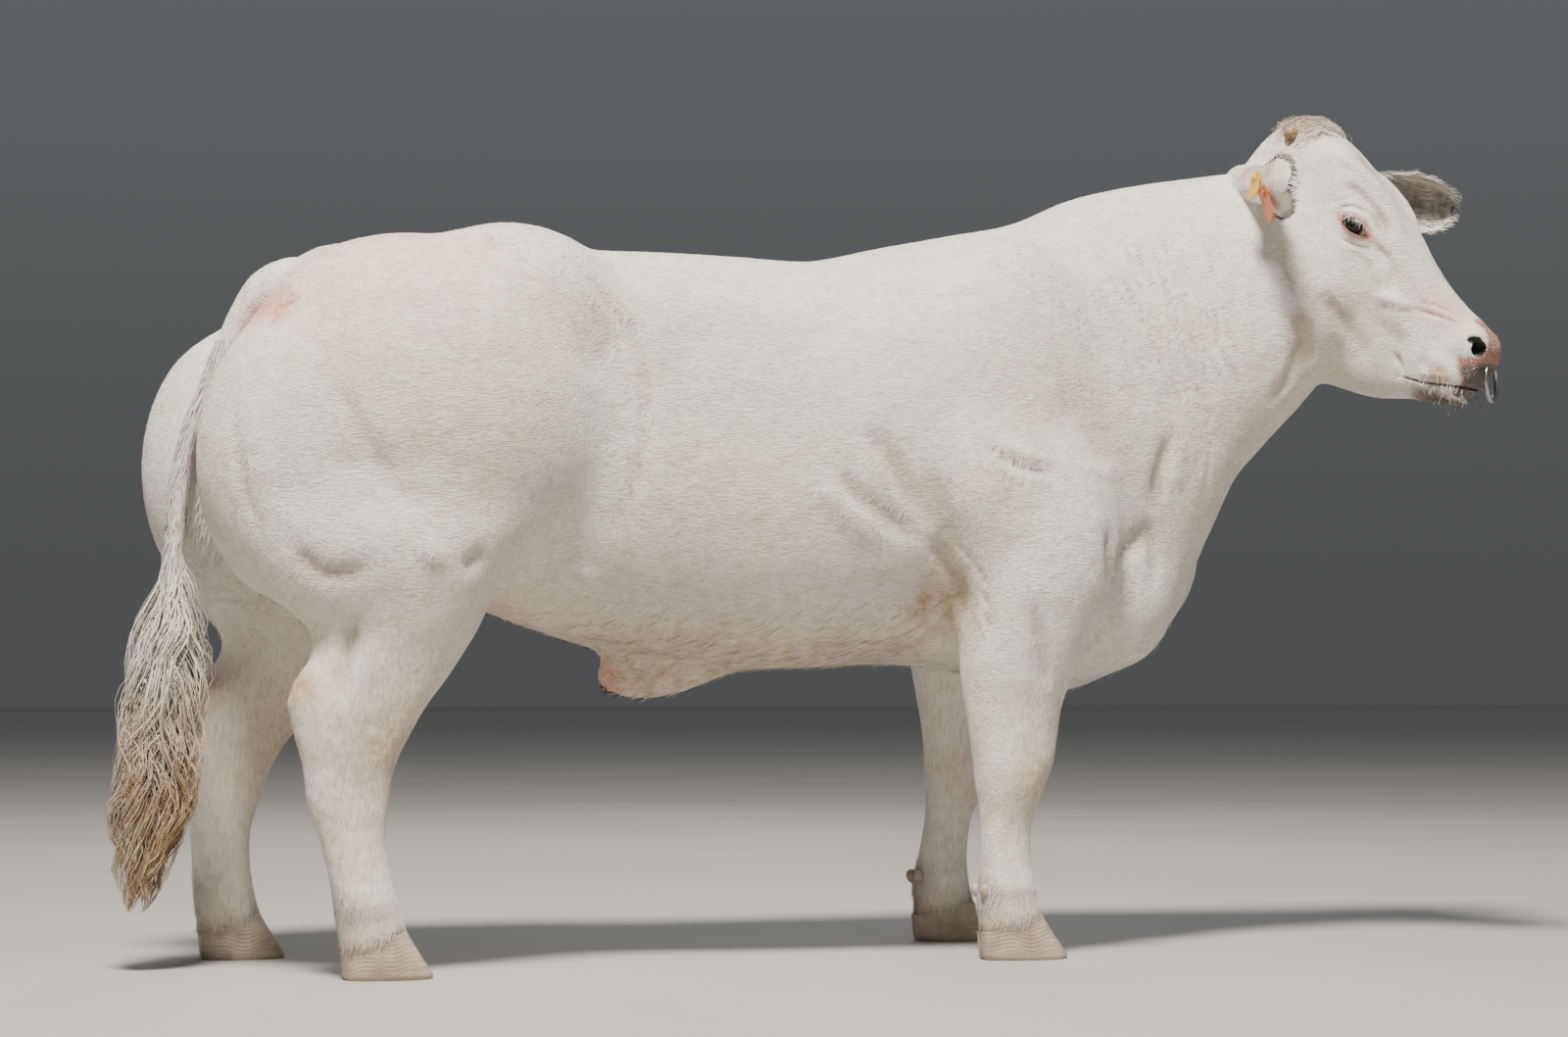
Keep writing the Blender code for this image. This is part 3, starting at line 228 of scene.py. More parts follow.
def loftDistance(along, side, high, stations, rounding=0.02):
    # radius, less its share inside the section |b / half|^n + |c / reach|^n = 1, ends rounded
    columns = list(zip(*stations))
    lowEnd, highEnd = sorted((columns[0][0], columns[0][-1]))
    mid, top, wide, low, half, squareTop, squareLow = [alongColumn(along, columns[0], c) for c in columns[1:]]
    b, c = side - mid, high - wide
    reach = np.where(c > 0, top - wide, wide - low)
    square = np.where(c > 0, squareTop, squareLow)
    share = (np.abs(b / half) ** square + np.abs(c / reach) ** square) ** (1 / square)
    across = np.hypot(b, c) * (1 - 1 / np.maximum(share, 0.05))
    across = np.where(share < 0.05, -np.minimum(half, reach), across)
    beyond = np.maximum(lowEnd - along, along - highEnd)
    return -blend(-across, -beyond, rounding)


def turned(degrees, axis="Y"):
    # the matrix of a turn; a row of points times it goes into the turned frame
    return np.array(Matrix.Rotation(radians(degrees), 3, axis))


def ellipsoidDistance(p, centre, radii, turn):
    # k0 (k0 - 1) / k1, with k0 the length of q / r and k1 that of q / r2
    q = (p - np.array(centre)) @ turn
    r = np.array(radii)
    k0 = np.sqrt(((q / r) ** 2).sum(1)) + 1e-9
    k1 = np.sqrt(((q / r**2) ** 2).sum(1)) + 1e-9
    return k0 * (k0 - 1) / k1


pitch, yaw = head["pitch"], head["yaw"]
headAxis = np.array([cos(pitch) * cos(yaw), cos(pitch) * sin(yaw), -sin(pitch)])
headUp = np.array([sin(pitch) * cos(yaw), sin(pitch) * sin(yaw), cos(pitch)])
headLeft = np.cross(headUp, headAxis)
headTurn = np.array([headAxis, headLeft, headUp])


def toHead(p):
    # from the drawing's frame into the head's
    return (p - np.array(head["poll"])) @ headTurn.T


def fromHead(q):
    return np.asarray(q, float) @ headTurn + np.array(head["poll"])


def mirrored(q):
    # both sides of the body or head laid over the left one
    return np.column_stack([q[:, 0], np.abs(q[:, 1]), q[:, 2]])


def headDistance(p):
    q = toHead(p)
    d = loftDistance(q[:, 0], q[:, 1], q[:, 2], head["stations"], 0.012)
    m = mirrored(q)
    for a, b, c, ra, rb, rc, pitch, width in head["forms"]:
        d = blend(d, ellipsoidDistance(m, (a, b, c), (ra, rb, rc), turned(pitch)), width)
    dome = np.linalg.norm(m - np.array(head["eye"]), axis=1) - (head["eyeRadius"] + head["lid"])
    return blend(d, dome, 0.010)


def legDistance(p, stations, sign, step):
    ahead = alongColumn(p[:, 2], *zip(*body[step])) if sign > 0 else 0.0
    return loftDistance(p[:, 2], sign * p[:, 1], p[:, 0] - ahead, body[stations], 0.015)


def bodyDistance(p):
    # every form of the body in one field, negative inside
    x, y, z = p.T
    d = loftDistance(x, y, z, body["trunk"], 0.04)
    for mx, my, mz, rx, ry, rz, pitch, width, ahead in body["muscles"]:
        m = np.column_stack([x - np.where(y > 0, ahead, 0), np.abs(y), z])
        d = blend(d, ellipsoidDistance(m, (mx, my, mz), (rx, ry, rz), turned(pitch)), width)
    for mx, my, mz, rx, ry, rz, pitch, width in body["midline"]:
        d = blend(d, ellipsoidDistance(p, (mx, my, mz), (rx, ry, rz), turned(pitch)), width)
    for sign in (-1, 1):
        d = blend(d, legDistance(p, "foreLeg", sign, "foreStep"), 0.045)
        d = blend(d, legDistance(p, "hindLeg", sign, "hindStep"), 0.045)
    return blend(d, headDistance(p), 0.035)


def surfacePoint(point, inward, reach=0.10):
    # where a line that comes in from outside first meets the body's surface
    inward = np.array(inward) / np.linalg.norm(inward)
    line = np.array(point) + np.linspace(-reach, reach, 401)[:, None] * inward
    inside = np.nonzero(bodyDistance(line) < 0)[0]
    return line[inside[0]] if len(inside) else np.array(point, float)


# The skin: one closed surface of the whole field, settled inside the solids by the coat's depth
skin = {
    "cell": 0.0125,
    "coatDepth": 0.0025,
    "bareDepth": 0.0008,
    "low": (-0.97, -0.43, 0.02),
    "high": (1.44, 0.35, 1.50),
    "coronetDrop": 0.0030,
    "lidRim": 0.0012,
    "fissure": (0.0245, 0.0160, 0.0112),
    "nostril": (0.466, 0.022, -0.171),
    "mouthHalfHeight": 0.0010,
    "mouthDepth": 0.0060,
    "eyeZone": 0.075,
}


def coatDepth(p):
    # thinner on the muzzle and round the eyes, where the hair is finest
    m = mirrored(toHead(p))
    nearEye = np.linalg.norm(m - np.array(head["eye"]), axis=1)
    onMuzzle = smooth(m[:, 0], 0.36, 0.42) * (m[:, 0] < 0.7) * (m[:, 1] < 0.2)
    bare = np.maximum(1 - smooth(nearEye, 0.03, 0.07), onMuzzle)
    return skin["coatDepth"] + (skin["bareDepth"] - skin["coatDepth"]) * bare


# The eye's opening in its own turned frame, for both sides at once
fissureTurn = turned(-4) @ turned(12, "Z")
fissureMiddle = np.array(head["eye"]) + np.array([0.001, 0.018, -0.001])


def fissurePlace(m):
    return (m - fissureMiddle) @ fissureTurn


def fissureShare(q):
    # 1 on the lids' edge: an almond whose front corner is drawn down
    long, across, up = skin["fissure"]
    along = q[:, 0] / long
    bow = up * (1 - 0.30 * np.clip(along, -1, 1) ** 2)
    return np.hypot(along, (q[:, 2] + 0.0025 * along * np.abs(along)) / bow)


# Each nostril is a comma: a round hole that looks forward and out, and a slit curling up behind it
nostrilInward = np.array([-0.60, -0.80, 0.0])
a, b, c = skin["nostril"]
nostrilMiddle = surfacePoint(fromHead([a, -b, c]), (nostrilInward * [1, -1, 1]) @ headTurn)
nostrilMiddle = toHead(nostrilMiddle[None])[0] * [1, -1, 1]
nostrilTurn = np.array([[0.80, -0.60, 0.0], nostrilInward, [0.0, 0.0, 1.0]]).T


def nostrilDistance(m):
    q = (m - nostrilMiddle) @ nostrilTurn
    hole = ellipsoidDistance(q, (0.003, 0.004, -0.001), (0.0125, 0.0240, 0.0122), turned(-35))
    slit = ellipsoidDistance(q, (-0.012, 0.002, 0.0080), (0.0135, 0.0110, 0.0050), turned(-30))
    return blend(hole, slit, 0.004)


def mouthLine(m):
    # how far above the line between the lips a point lies
    return m[:, 2] - alongColumn(m[:, 0], *zip(*head["mouth"]))


def mouthDistance(m, d):
    # the mouth is opened a little, and only so deep below the skin
    parted = skin["mouthHalfHeight"] * smooth(m[:, 0], 0.400, 0.43)
    parted = parted - 0.03 * (1 - smooth(m[:, 0], 0.385, 0.410))
    return np.maximum(np.abs(mouthLine(m)) - parted, -d - skin["mouthDepth"])


def fleshDistance(p):
    # the body, less the eyes' openings, nostrils, mouth and what lies below the coronets
    d = bodyDistance(p)
    tilt = turned(np.degrees(body["coronetTilt"]))[:, 2]
    for x, y, z in body["feet"].values():
        near = (p[:, 2] < 0.16) & (np.sign(p[:, 1]) == np.sign(y)) & (np.abs(p[:, 0] - x) < 0.16)
        above = (p[near] - np.array([x, y, z - skin["coronetDrop"]])) @ tilt
        d[near] = carve(d[near], above, 0.006)
    q = toHead(p)
    near = (q[:, 0] > 0.12) & (q[:, 0] < 0.62) & (np.abs(q[:, 1]) < 0.16) & (q[:, 2] > -0.36)
    m, face = mirrored(q[near]), d[near]
    f = fissurePlace(m)
    share = fissureShare(f)
    atLids = smooth(f[:, 1], -0.022, -0.012)
    folded = carve(face - skin["lidRim"] * np.exp(-((share - 1.12) / 0.13) ** 2) * atLids,
                   np.maximum((share - 1) * skin["fissure"][2], -0.012 - f[:, 1]), 0.0012)
    folded = carve(folded, nostrilDistance(m), 0.004)
    d[near] = carve(folded, mouthDistance(m, face), 0.002)
    return d


def netSurface(distance, low, high, cell, margin=2.2):
    # surface nets: each cell that the surface crosses gets one point, at the mean of the places where its
    # twelve edges cross it, and each crossed grid edge gets the quad of the four cells round it
    block = 4
    low, high = np.array(low, float), np.array(high, float)
    blocks = np.ceil((high - low) / (cell * block)).astype(int)
    counts = blocks * block + 1
    middle = [low[k] + (np.arange(blocks[k]) + 0.5) * cell * block for k in range(3)]
    grid = np.stack(np.meshgrid(*middle, indexing="ij"), -1).reshape(-1, 3)
    coarse = distance(grid).reshape(blocks)
    coarse = np.pad(coarse, ((0, 1),) * 3, mode="edge")
    value = coarse.repeat(block, 0).repeat(block, 1).repeat(block, 2)[:counts[0], :counts[1], :counts[2]]
    close = np.abs(coarse) < cell * block * margin
    close = close.repeat(block, 0).repeat(block, 1).repeat(block, 2)[:counts[0], :counts[1], :counts[2]]
    spots = np.argwhere(close)
    value[tuple(spots.T)] = distance(low + spots * cell)
    inside = value < 0
    corners = [(i, j, k) for i in (0, 1) for j in (0, 1) for k in (0, 1)]
    size = counts - 1
    count = sum(inside[i:size[0] + i, j:size[1] + j, k:size[2] + k].astype(np.int8) for i, j, k in corners)
    cells = np.argwhere((count > 0) & (count < 8))
    index = np.full(size, -1)
    index[tuple(cells.T)] = np.arange(len(cells))
    place, hits = np.zeros((len(cells), 3)), np.zeros(len(cells))
    for one in corners:
        for k in range(3):
            if one[k]:
                continue
            other = np.array(one) + np.eye(3, dtype=int)[k]
            va, vb = value[tuple((cells + one).T)], value[tuple((cells + other).T)]
            crossed = (va < 0) != (vb < 0)
            t = np.where(crossed, va / np.where(crossed, va - vb, 1), 0)
            place += crossed[:, None] * (np.array(one) + t[:, None] * np.eye(3)[k])
            hits += crossed
    points = low + (cells + place / hits[:, None]) * cell
    quads = []
    for k in range(3):
        i, j = (k + 1) % 3, (k + 2) % 3
        step = np.eye(3, dtype=int)
        here, beyond = np.take(inside, range(size[k]), k), np.take(inside, range(1, size[k] + 1), k)
        edges = np.argwhere(here != beyond)
        keep = (edges[:, i] > 0) & (edges[:, j] > 0) & (edges[:, i] < size[i]) & (edges[:, j] < size[j])
        edges = edges[keep]
        ring = [edges - step[i] - step[j], edges - step[j], edges, edges - step[i]]
        quad = np.stack([index[tuple(c.T)] for c in ring], 1)
        starts = inside[tuple(edges.T)]
        quads.append(np.where(starts[:, None], quad, quad[:, ::-1]))
    return points, np.concatenate(quads)


def setMesh(name, points, faces):
    # faces is an array of equal polygons, or a list of such arrays
    groups = faces if isinstance(faces, list) else [faces]
    loops = np.concatenate([g.ravel() for g in groups])
    sizes = np.concatenate([np.full(len(g), g.shape[1]) for g in groups])
    mesh = bpy.data.meshes.new(name)
    mesh.vertices.add(len(points))
    mesh.vertices.foreach_set("co", np.ascontiguousarray(points, np.float32).ravel())
    mesh.loops.add(len(loops))
    mesh.loops.foreach_set("vertex_index", loops.astype(np.int32))
    mesh.polygons.add(len(sizes))
    mesh.polygons.foreach_set("loop_start", (np.cumsum(sizes) - sizes).astype(np.int32))
    mesh.update(calc_edges=True)
    mesh.polygons.foreach_set("use_smooth", np.ones(len(sizes), bool))
    return mesh


def readPoints(mesh):
    points = np.empty(len(mesh.vertices) * 3, np.float32)
    mesh.vertices.foreach_get("co", points)
    return points.reshape(-1, 3).astype(float)


def readNormals(mesh):
    normals = np.empty(len(mesh.vertices) * 3, np.float32)
    mesh.vertex_normals.foreach_get("vector", normals)
    return normals.reshape(-1, 3).astype(float)


def writePoints(mesh, points):
    mesh.vertices.foreach_set("co", np.ascontiguousarray(points, np.float32).ravel())
    mesh.update()


def evened(points, edges, weight):
    # each point moves by the weight towards the mean of its neighbours
    a, b = edges.T
    n = len(points)
    degree = np.bincount(a, minlength=n) + np.bincount(b, minlength=n)
    mean = np.stack([np.bincount(a, points[b, k], n) + np.bincount(b, points[a, k], n) for k in range(3)], 1)
    mean /= np.maximum(degree, 1)[:, None]
    return points + np.asarray(weight).reshape(-1, 1) * (mean - points)


def readEdges(mesh):
    edges = np.empty(len(mesh.edges) * 2, np.int32)
    mesh.edges.foreach_get("vertices", edges)
    return edges.reshape(-1, 2)


def settle(mesh, rounds, step, weight=0.4, where=None):
    # evens out the points, then moves them along their normals to the coat's depth below the field
    edges = readEdges(mesh)
    for _ in range(rounds):
        points = readPoints(mesh)
        chosen = np.ones(len(points), bool) if where is None else where(points)
        moved = evened(points, edges, weight * chosen)
        writePoints(mesh, moved)
        normals = readNormals(mesh)[chosen]
        near = moved[chosen]
        for _ in range(2):
            off = np.clip(fleshDistance(near) + coatDepth(near), -step, step)
            near = near - 0.85 * off[:, None] * normals
        moved[chosen] = near
        writePoints(mesh, moved)


def refined(mesh, where):
    # cuts every face in the zone in four, and the odd ones at its border into triangles
    shape = bmesh.new()
    shape.from_mesh(mesh)
    middles = np.array([f.calc_center_median() for f in shape.faces])
    chosen = where(middles)
    edges = {e for f, c in zip(shape.faces, chosen) if c for e in f.edges}
    bmesh.ops.subdivide_edges(shape, edges=list(edges), cuts=1, use_grid_fill=True)
    bmesh.ops.triangulate(shape, faces=[f for f in shape.faces if len(f.verts) > 4])
    shape.to_mesh(mesh)
    shape.free()
    mesh.polygons.foreach_set("use_smooth", np.ones(len(mesh.polygons), bool))
    mesh.update()


def headZone(p):
    # the head with its poll
    q = toHead(p)
    return (q[:, 0] > -0.09) & (q[:, 2] > -0.45) & (p[:, 0] > 0.93) & (p[:, 2] > 0.86)


def foldZone(p):
    # neck wrinkles, elbow folds and the legs below the knee and hock
    neck = (p[:, 0] > 0.55) & (p[:, 0] < 1.0) & (p[:, 2] > 0.80) & (np.abs(p[:, 1]) > 0.06)
    elbow = (np.abs(p[:, 0] - 0.38) < 0.07) & (np.abs(p[:, 2] - 0.60) < 0.10) & (np.abs(p[:, 1]) > 0.17)
    legs = p[:, 2] < 0.33
    return headZone(p) | neck | elbow | legs


def faceZone(p):
    # round the eyes, the muzzle and the lips
    m = mirrored(toHead(p))
    eyes = np.linalg.norm(m - np.array(head["eye"]), axis=1) < skin["eyeZone"]
    return eyes | ((m[:, 0] > 0.375) & (m[:, 0] < 0.60) & (m[:, 2] > -0.34) & (m[:, 1] < 0.12))


def edgeZone(p):
    # the lids' edges, nostrils and the line of the mouth
    m = mirrored(toHead(p))
    f = fissurePlace(m)
    lids = (np.hypot(f[:, 0] / 0.036, f[:, 2] / 0.024) < 1) & (f[:, 1] > -0.03)
    nose = np.linalg.norm(m - nostrilMiddle, axis=1) < 0.030
    mouth = (np.abs(mouthLine(m)) < 0.008) & (m[:, 0] > 0.38) & (m[:, 0] < 0.6) & (m[:, 1] < 0.12)
    return (lids | nose | mouth) & faceZone(p)


# where the net is cut finer, in turn: the zone, rounds of settling, longest step and weight of the evening
skin["finer"] = [(foldZone, 3, 0.005, 0.4), (faceZone, 4, 0.003, 0.4), (edgeZone, 5, 0.002, 0.3)]
points, quads = netSurface(fleshDistance, skin["low"], skin["high"], skin["cell"])
skinMesh = setMesh("hide", points, quads)
settle(skinMesh, 5, 0.010)
print("skin net", len(skinMesh.vertices))
for zone, rounds, step, weight in skin["finer"]:
    refined(skinMesh, zone)
    settle(skinMesh, rounds, step, weight, zone)
print("skin refined", len(skinMesh.vertices))


def gridSurface(points, caps=True):
    # points is rows x columns x 3: quads between the rows, round each row, and a fan at either end
    rows, columns = points.shape[:2]
    index = np.arange(rows * columns).reshape(rows, columns)
    index = np.concatenate([index, index[:, :1]], 1)
    quads = np.stack([index[:-1, :-1], index[:-1, 1:], index[1:, 1:], index[1:, :-1]], -1).reshape(-1, 4)
    flat = points.reshape(-1, 3)
    if not caps:
        return flat, quads
    ends = np.stack([points[0].mean(0), points[-1].mean(0)])
    first, last = index[0], index[-1]
    low = np.stack([np.full(columns, rows * columns), first[1:], first[:-1]], 1)
    high = np.stack([np.full(columns, rows * columns + 1), last[:-1], last[1:]], 1)
    return np.concatenate([flat, ends]), [quads, np.concatenate([low, high])]


def polarGrid(rows, columns, short):
    # angles from the pole and round it, for a ball that stops just short of its poles
    theta = np.linspace(short, pi - short, rows)
    return theta[:, None], np.linspace(0, 2 * pi, columns, endpoint=False)[None]


def outward(mesh):
    # turns a closed mesh's faces outwards
    shape = bmesh.new()
    shape.from_mesh(mesh)
    bmesh.ops.recalc_face_normals(shape, faces=shape.faces)
    shape.to_mesh(mesh)
    shape.free()
    return mesh


def framesAlong(path, up):
    # unit vectors square to a path: side = up x tangent, then high = tangent x side
    tangent = np.gradient(path, axis=0)
    tangent /= np.linalg.norm(tangent, axis=1)[:, None]
    side = np.cross(np.broadcast_to(up, path.shape), tangent)
    side /= np.linalg.norm(side, axis=1)[:, None]
    return tangent, side, np.cross(tangent, side)


def sweep(path, wide, tall, around, up):
    # ring i is path[i] + side wide[i] cos t + high tall[i] sin t
    _, side, high = framesAlong(path, up)
    t = np.linspace(0, 2 * pi, around, endpoint=False)
    wide, tall = np.broadcast_to(wide, len(path)), np.broadcast_to(tall, len(path))
    ring = side[:, None] * (wide[:, None] * np.cos(t))[..., None]
    return path[:, None] + ring + high[:, None] * (tall[:, None] * np.sin(t))[..., None]


def curveThrough(rows, count):
    # a smooth path of count points through the rows, even in the rows' own chord length
    rows = np.array(rows, float)
    run = np.concatenate([[0], np.cumsum(np.linalg.norm(np.diff(rows[:, :3], axis=0), axis=1))])
    at = np.linspace(0, run[-1], count)
    return np.stack([alongColumn(at, run, c) for c in rows.T], 1)


def placed(name, data):
    # a new object, linked into the scene
    made = bpy.data.objects.new(name, data)
    bpy.context.scene.collection.objects.link(made)
    return made


def newPiece(name, mesh, material, *nodes, slot=None):
    # shows a finished mesh in the bull's own frame, riding on its one body. Tips of hair that would reach
    # past the solids' box, by 12 mm at most, are held at it
    mesh.transform(Matrix.Translation(shift))
    low, high = np.array(cadBox)
    free = readPoints(mesh)
    if (free < low).any() or (free > high).any():
        writePoints(mesh, np.clip(free, low, high))
    mesh.name = name
    mesh.materials.clear()
    mesh.materials.append(material)
    piece = placed(name, mesh)
    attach(piece, "root")
    if nodes:
        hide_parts(*nodes)


def union(mesh, others):
    # fuses closed forms into the skin
    base = placed("base", mesh)
    added = []
    for other in others:
        form = placed("form", other)
        fuse = base.modifiers.new("fuse", "BOOLEAN")
        fuse.operation = "UNION"
        fuse.object = form
        fuse.solver = "MANIFOLD"
        added.append(form)
    graph = bpy.context.evaluated_depsgraph_get()
    fused = bpy.data.meshes.new_from_object(base.evaluated_get(graph))
    for form in [base] + added:
        bpy.data.objects.remove(form, do_unlink=True)
    return fused


# Ears: leaves rolled towards their roots, each with a ridged hollow side. roll: half the angle at the root,
# and how much it eases. places: root, way and where it opens, in the head's frame
ear = {
    "length": 0.2335,
    "halfWidth": 0.0665,
    "rootHalfWidth": 0.0865,
    "thickness": 0.0042,
    "roll": (130, 75),
    "rows": 72,
    "columns": 44,
    "ridge": 0.0012,
    "places": {
        "right": ((-0.011, -0.127, -0.171), (0.60, -0.755, 0.237), (0.50, 0.72, 0.47)),
        "left": ((0.048, 0.105, -0.095), (0.80, 0.46, 0.38), (0.57, -0.82, 0.04)),
    },
}


def earFrame(side):
    root, along, opening = ear["places"][side]
    along = np.array(along) @ headTurn
    along /= np.linalg.norm(along)
    opening = np.array(opening) @ headTurn
    opening -= along * (opening @ along)
    opening /= np.linalg.norm(opening)
    return fromHead(root), along, opening, np.cross(along, opening)


def earArc(u):
    # the arc across the ear: its radius, from half the width, and half the angle that it runs through. The
    # width rises and falls as (1 - |u - 0.5|^2.5)^0.5, and the roll opens from 130 degrees to 55
    half = ear["halfWidth"] * np.sqrt(np.maximum(1 - np.abs((u - 0.50) / 0.505) ** 2.5, 0))
    half = np.maximum(np.maximum(half, ear["rootHalfWidth"] * (1 - u / 0.45)), 0.002)
    tight, eases = ear["roll"]
    roll = np.radians(tight - eases * np.minimum(1, u / 0.6))
    return half / roll, roll


def earPlace(side, p):
    # how far along the ear, how far across it and how far into its hollow side a point lies
    root, along, opening, across = earFrame(side)
    e = p - root
    u = e @ along / ear["length"]
    radius, roll = earArc(np.clip(u, 0, 0.99))
    lift = radius - np.hypot(e @ across, e @ opening - radius)
    return u, np.arctan2(e @ across, radius - e @ opening) / roll, lift


def earPoint(side, u, v, lift):
    # u from root to tip, v from edge to edge on an arc of half the width over the roll's angle
    root, along, opening, across = earFrame(side)
    radius, roll = earArc(u)
    angle = roll * v
    out = across * ((radius - lift) * np.sin(angle))[..., None]
    out = out + opening * ((radius - lift) * (1 - np.cos(angle)) + lift)[..., None]
    return root + along * (ear["length"] * u)[..., None] + out


def earMesh(side):
    # the outer skin at the coat's depth, the hollow side a little within it, meeting in a rounded rim
    rows, columns = ear["rows"], ear["columns"]
    u = np.linspace(-0.30, 0.985, rows)[:, None]
    turn = np.linspace(0, 2 * pi, 2 * columns, endpoint=False)[None]
    v = np.sign(np.cos(turn)) * np.abs(np.cos(turn)) ** 0.8 * 0.985
    inner = np.sin(turn) > 0
    thick = ear["thickness"] * (1 - 0.30 * np.maximum(u, 0)) * np.abs(np.sin(turn)) ** 0.35
    ridges = ear["ridge"] * np.sin(v * 17 + 2.0 * u) * smooth(u, 0.05, 0.3) * (1 - smooth(u, 0.75, 0.95))
    lift = 0.0016 + np.where(inner, thick + ridges * np.abs(np.sin(turn)), 0.0)
    u, v, lift = np.broadcast_arrays(u, v, lift)
    points = earPoint(side, np.maximum(u, 0), v, lift)
    points = points + earFrame(side)[1] * (ear["length"] * np.minimum(u, 0))[..., None]
    return outward(setMesh("ear_" + side, *gridSurface(points)))


# Tail: the dock, whose flesh goes on thin inside the long hair. x, z of its middle, half its thickness
tail = {
    "rows": [
        (-0.650, 1.085, 0.0440),
        (-0.705, 1.107, 0.0440),
        (-0.748, 1.096, 0.0410),
        (-0.785, 1.050, 0.0310),
        (-0.815, 0.990, 0.0250),
        (-0.838, 0.946, 0.0190),
        (-0.857, 0.904, 0.0155),
        (-0.8735, 0.864, 0.0130),
        (-0.884, 0.822, 0.0122),
        (-0.891, 0.767, 0.0122),
        (-0.8955, 0.706, 0.0130),
        (-0.899, 0.640, 0.0130),
        (-0.904, 0.540, 0.0115),
        (-0.908, 0.470, 0.0100),
        (-0.914, 0.380, 0.0075),
        (-0.919, 0.320, 0.0040),
    ],
    "rings": 150,
    "around": 22,
}
tailPath = curveThrough([(x, 0.0, z, r) for x, z, r in tail["rows"]], tail["rings"])
tailRings = sweep(tailPath[:, :3], tailPath[:, 3], tailPath[:, 3], tail["around"], (0, 1, 0))
tailMesh = outward(setMesh("dock", *gridSurface(tailRings)))

ears = [earMesh("right"), earMesh("left")]
skinMesh = union(skinMesh, ears + [tailMesh])
print("ears and tail joined", len(skinMesh.vertices))


def seamWeight(p):
    # where an ear or the tail meets the body
    weight = np.zeros(len(p))
    for side in ear["places"]:
        root, along, _, _ = earFrame(side)
        away = np.linalg.norm(p - root - along * 0.012, axis=1)
        weight = np.maximum(weight, 1 - smooth(away, 0.048, 0.075))
    dock = np.linalg.norm(p - np.array([-0.745, 0, 1.085]), axis=1)
    return np.maximum(weight, 1 - smooth(dock, 0.045, 0.075))


seamEdges = readEdges(skinMesh)
softened = readPoints(skinMesh)
for _ in range(7):
    softened = evened(softened, seamEdges, 0.5 * seamWeight(softened))
writePoints(skinMesh, softened)


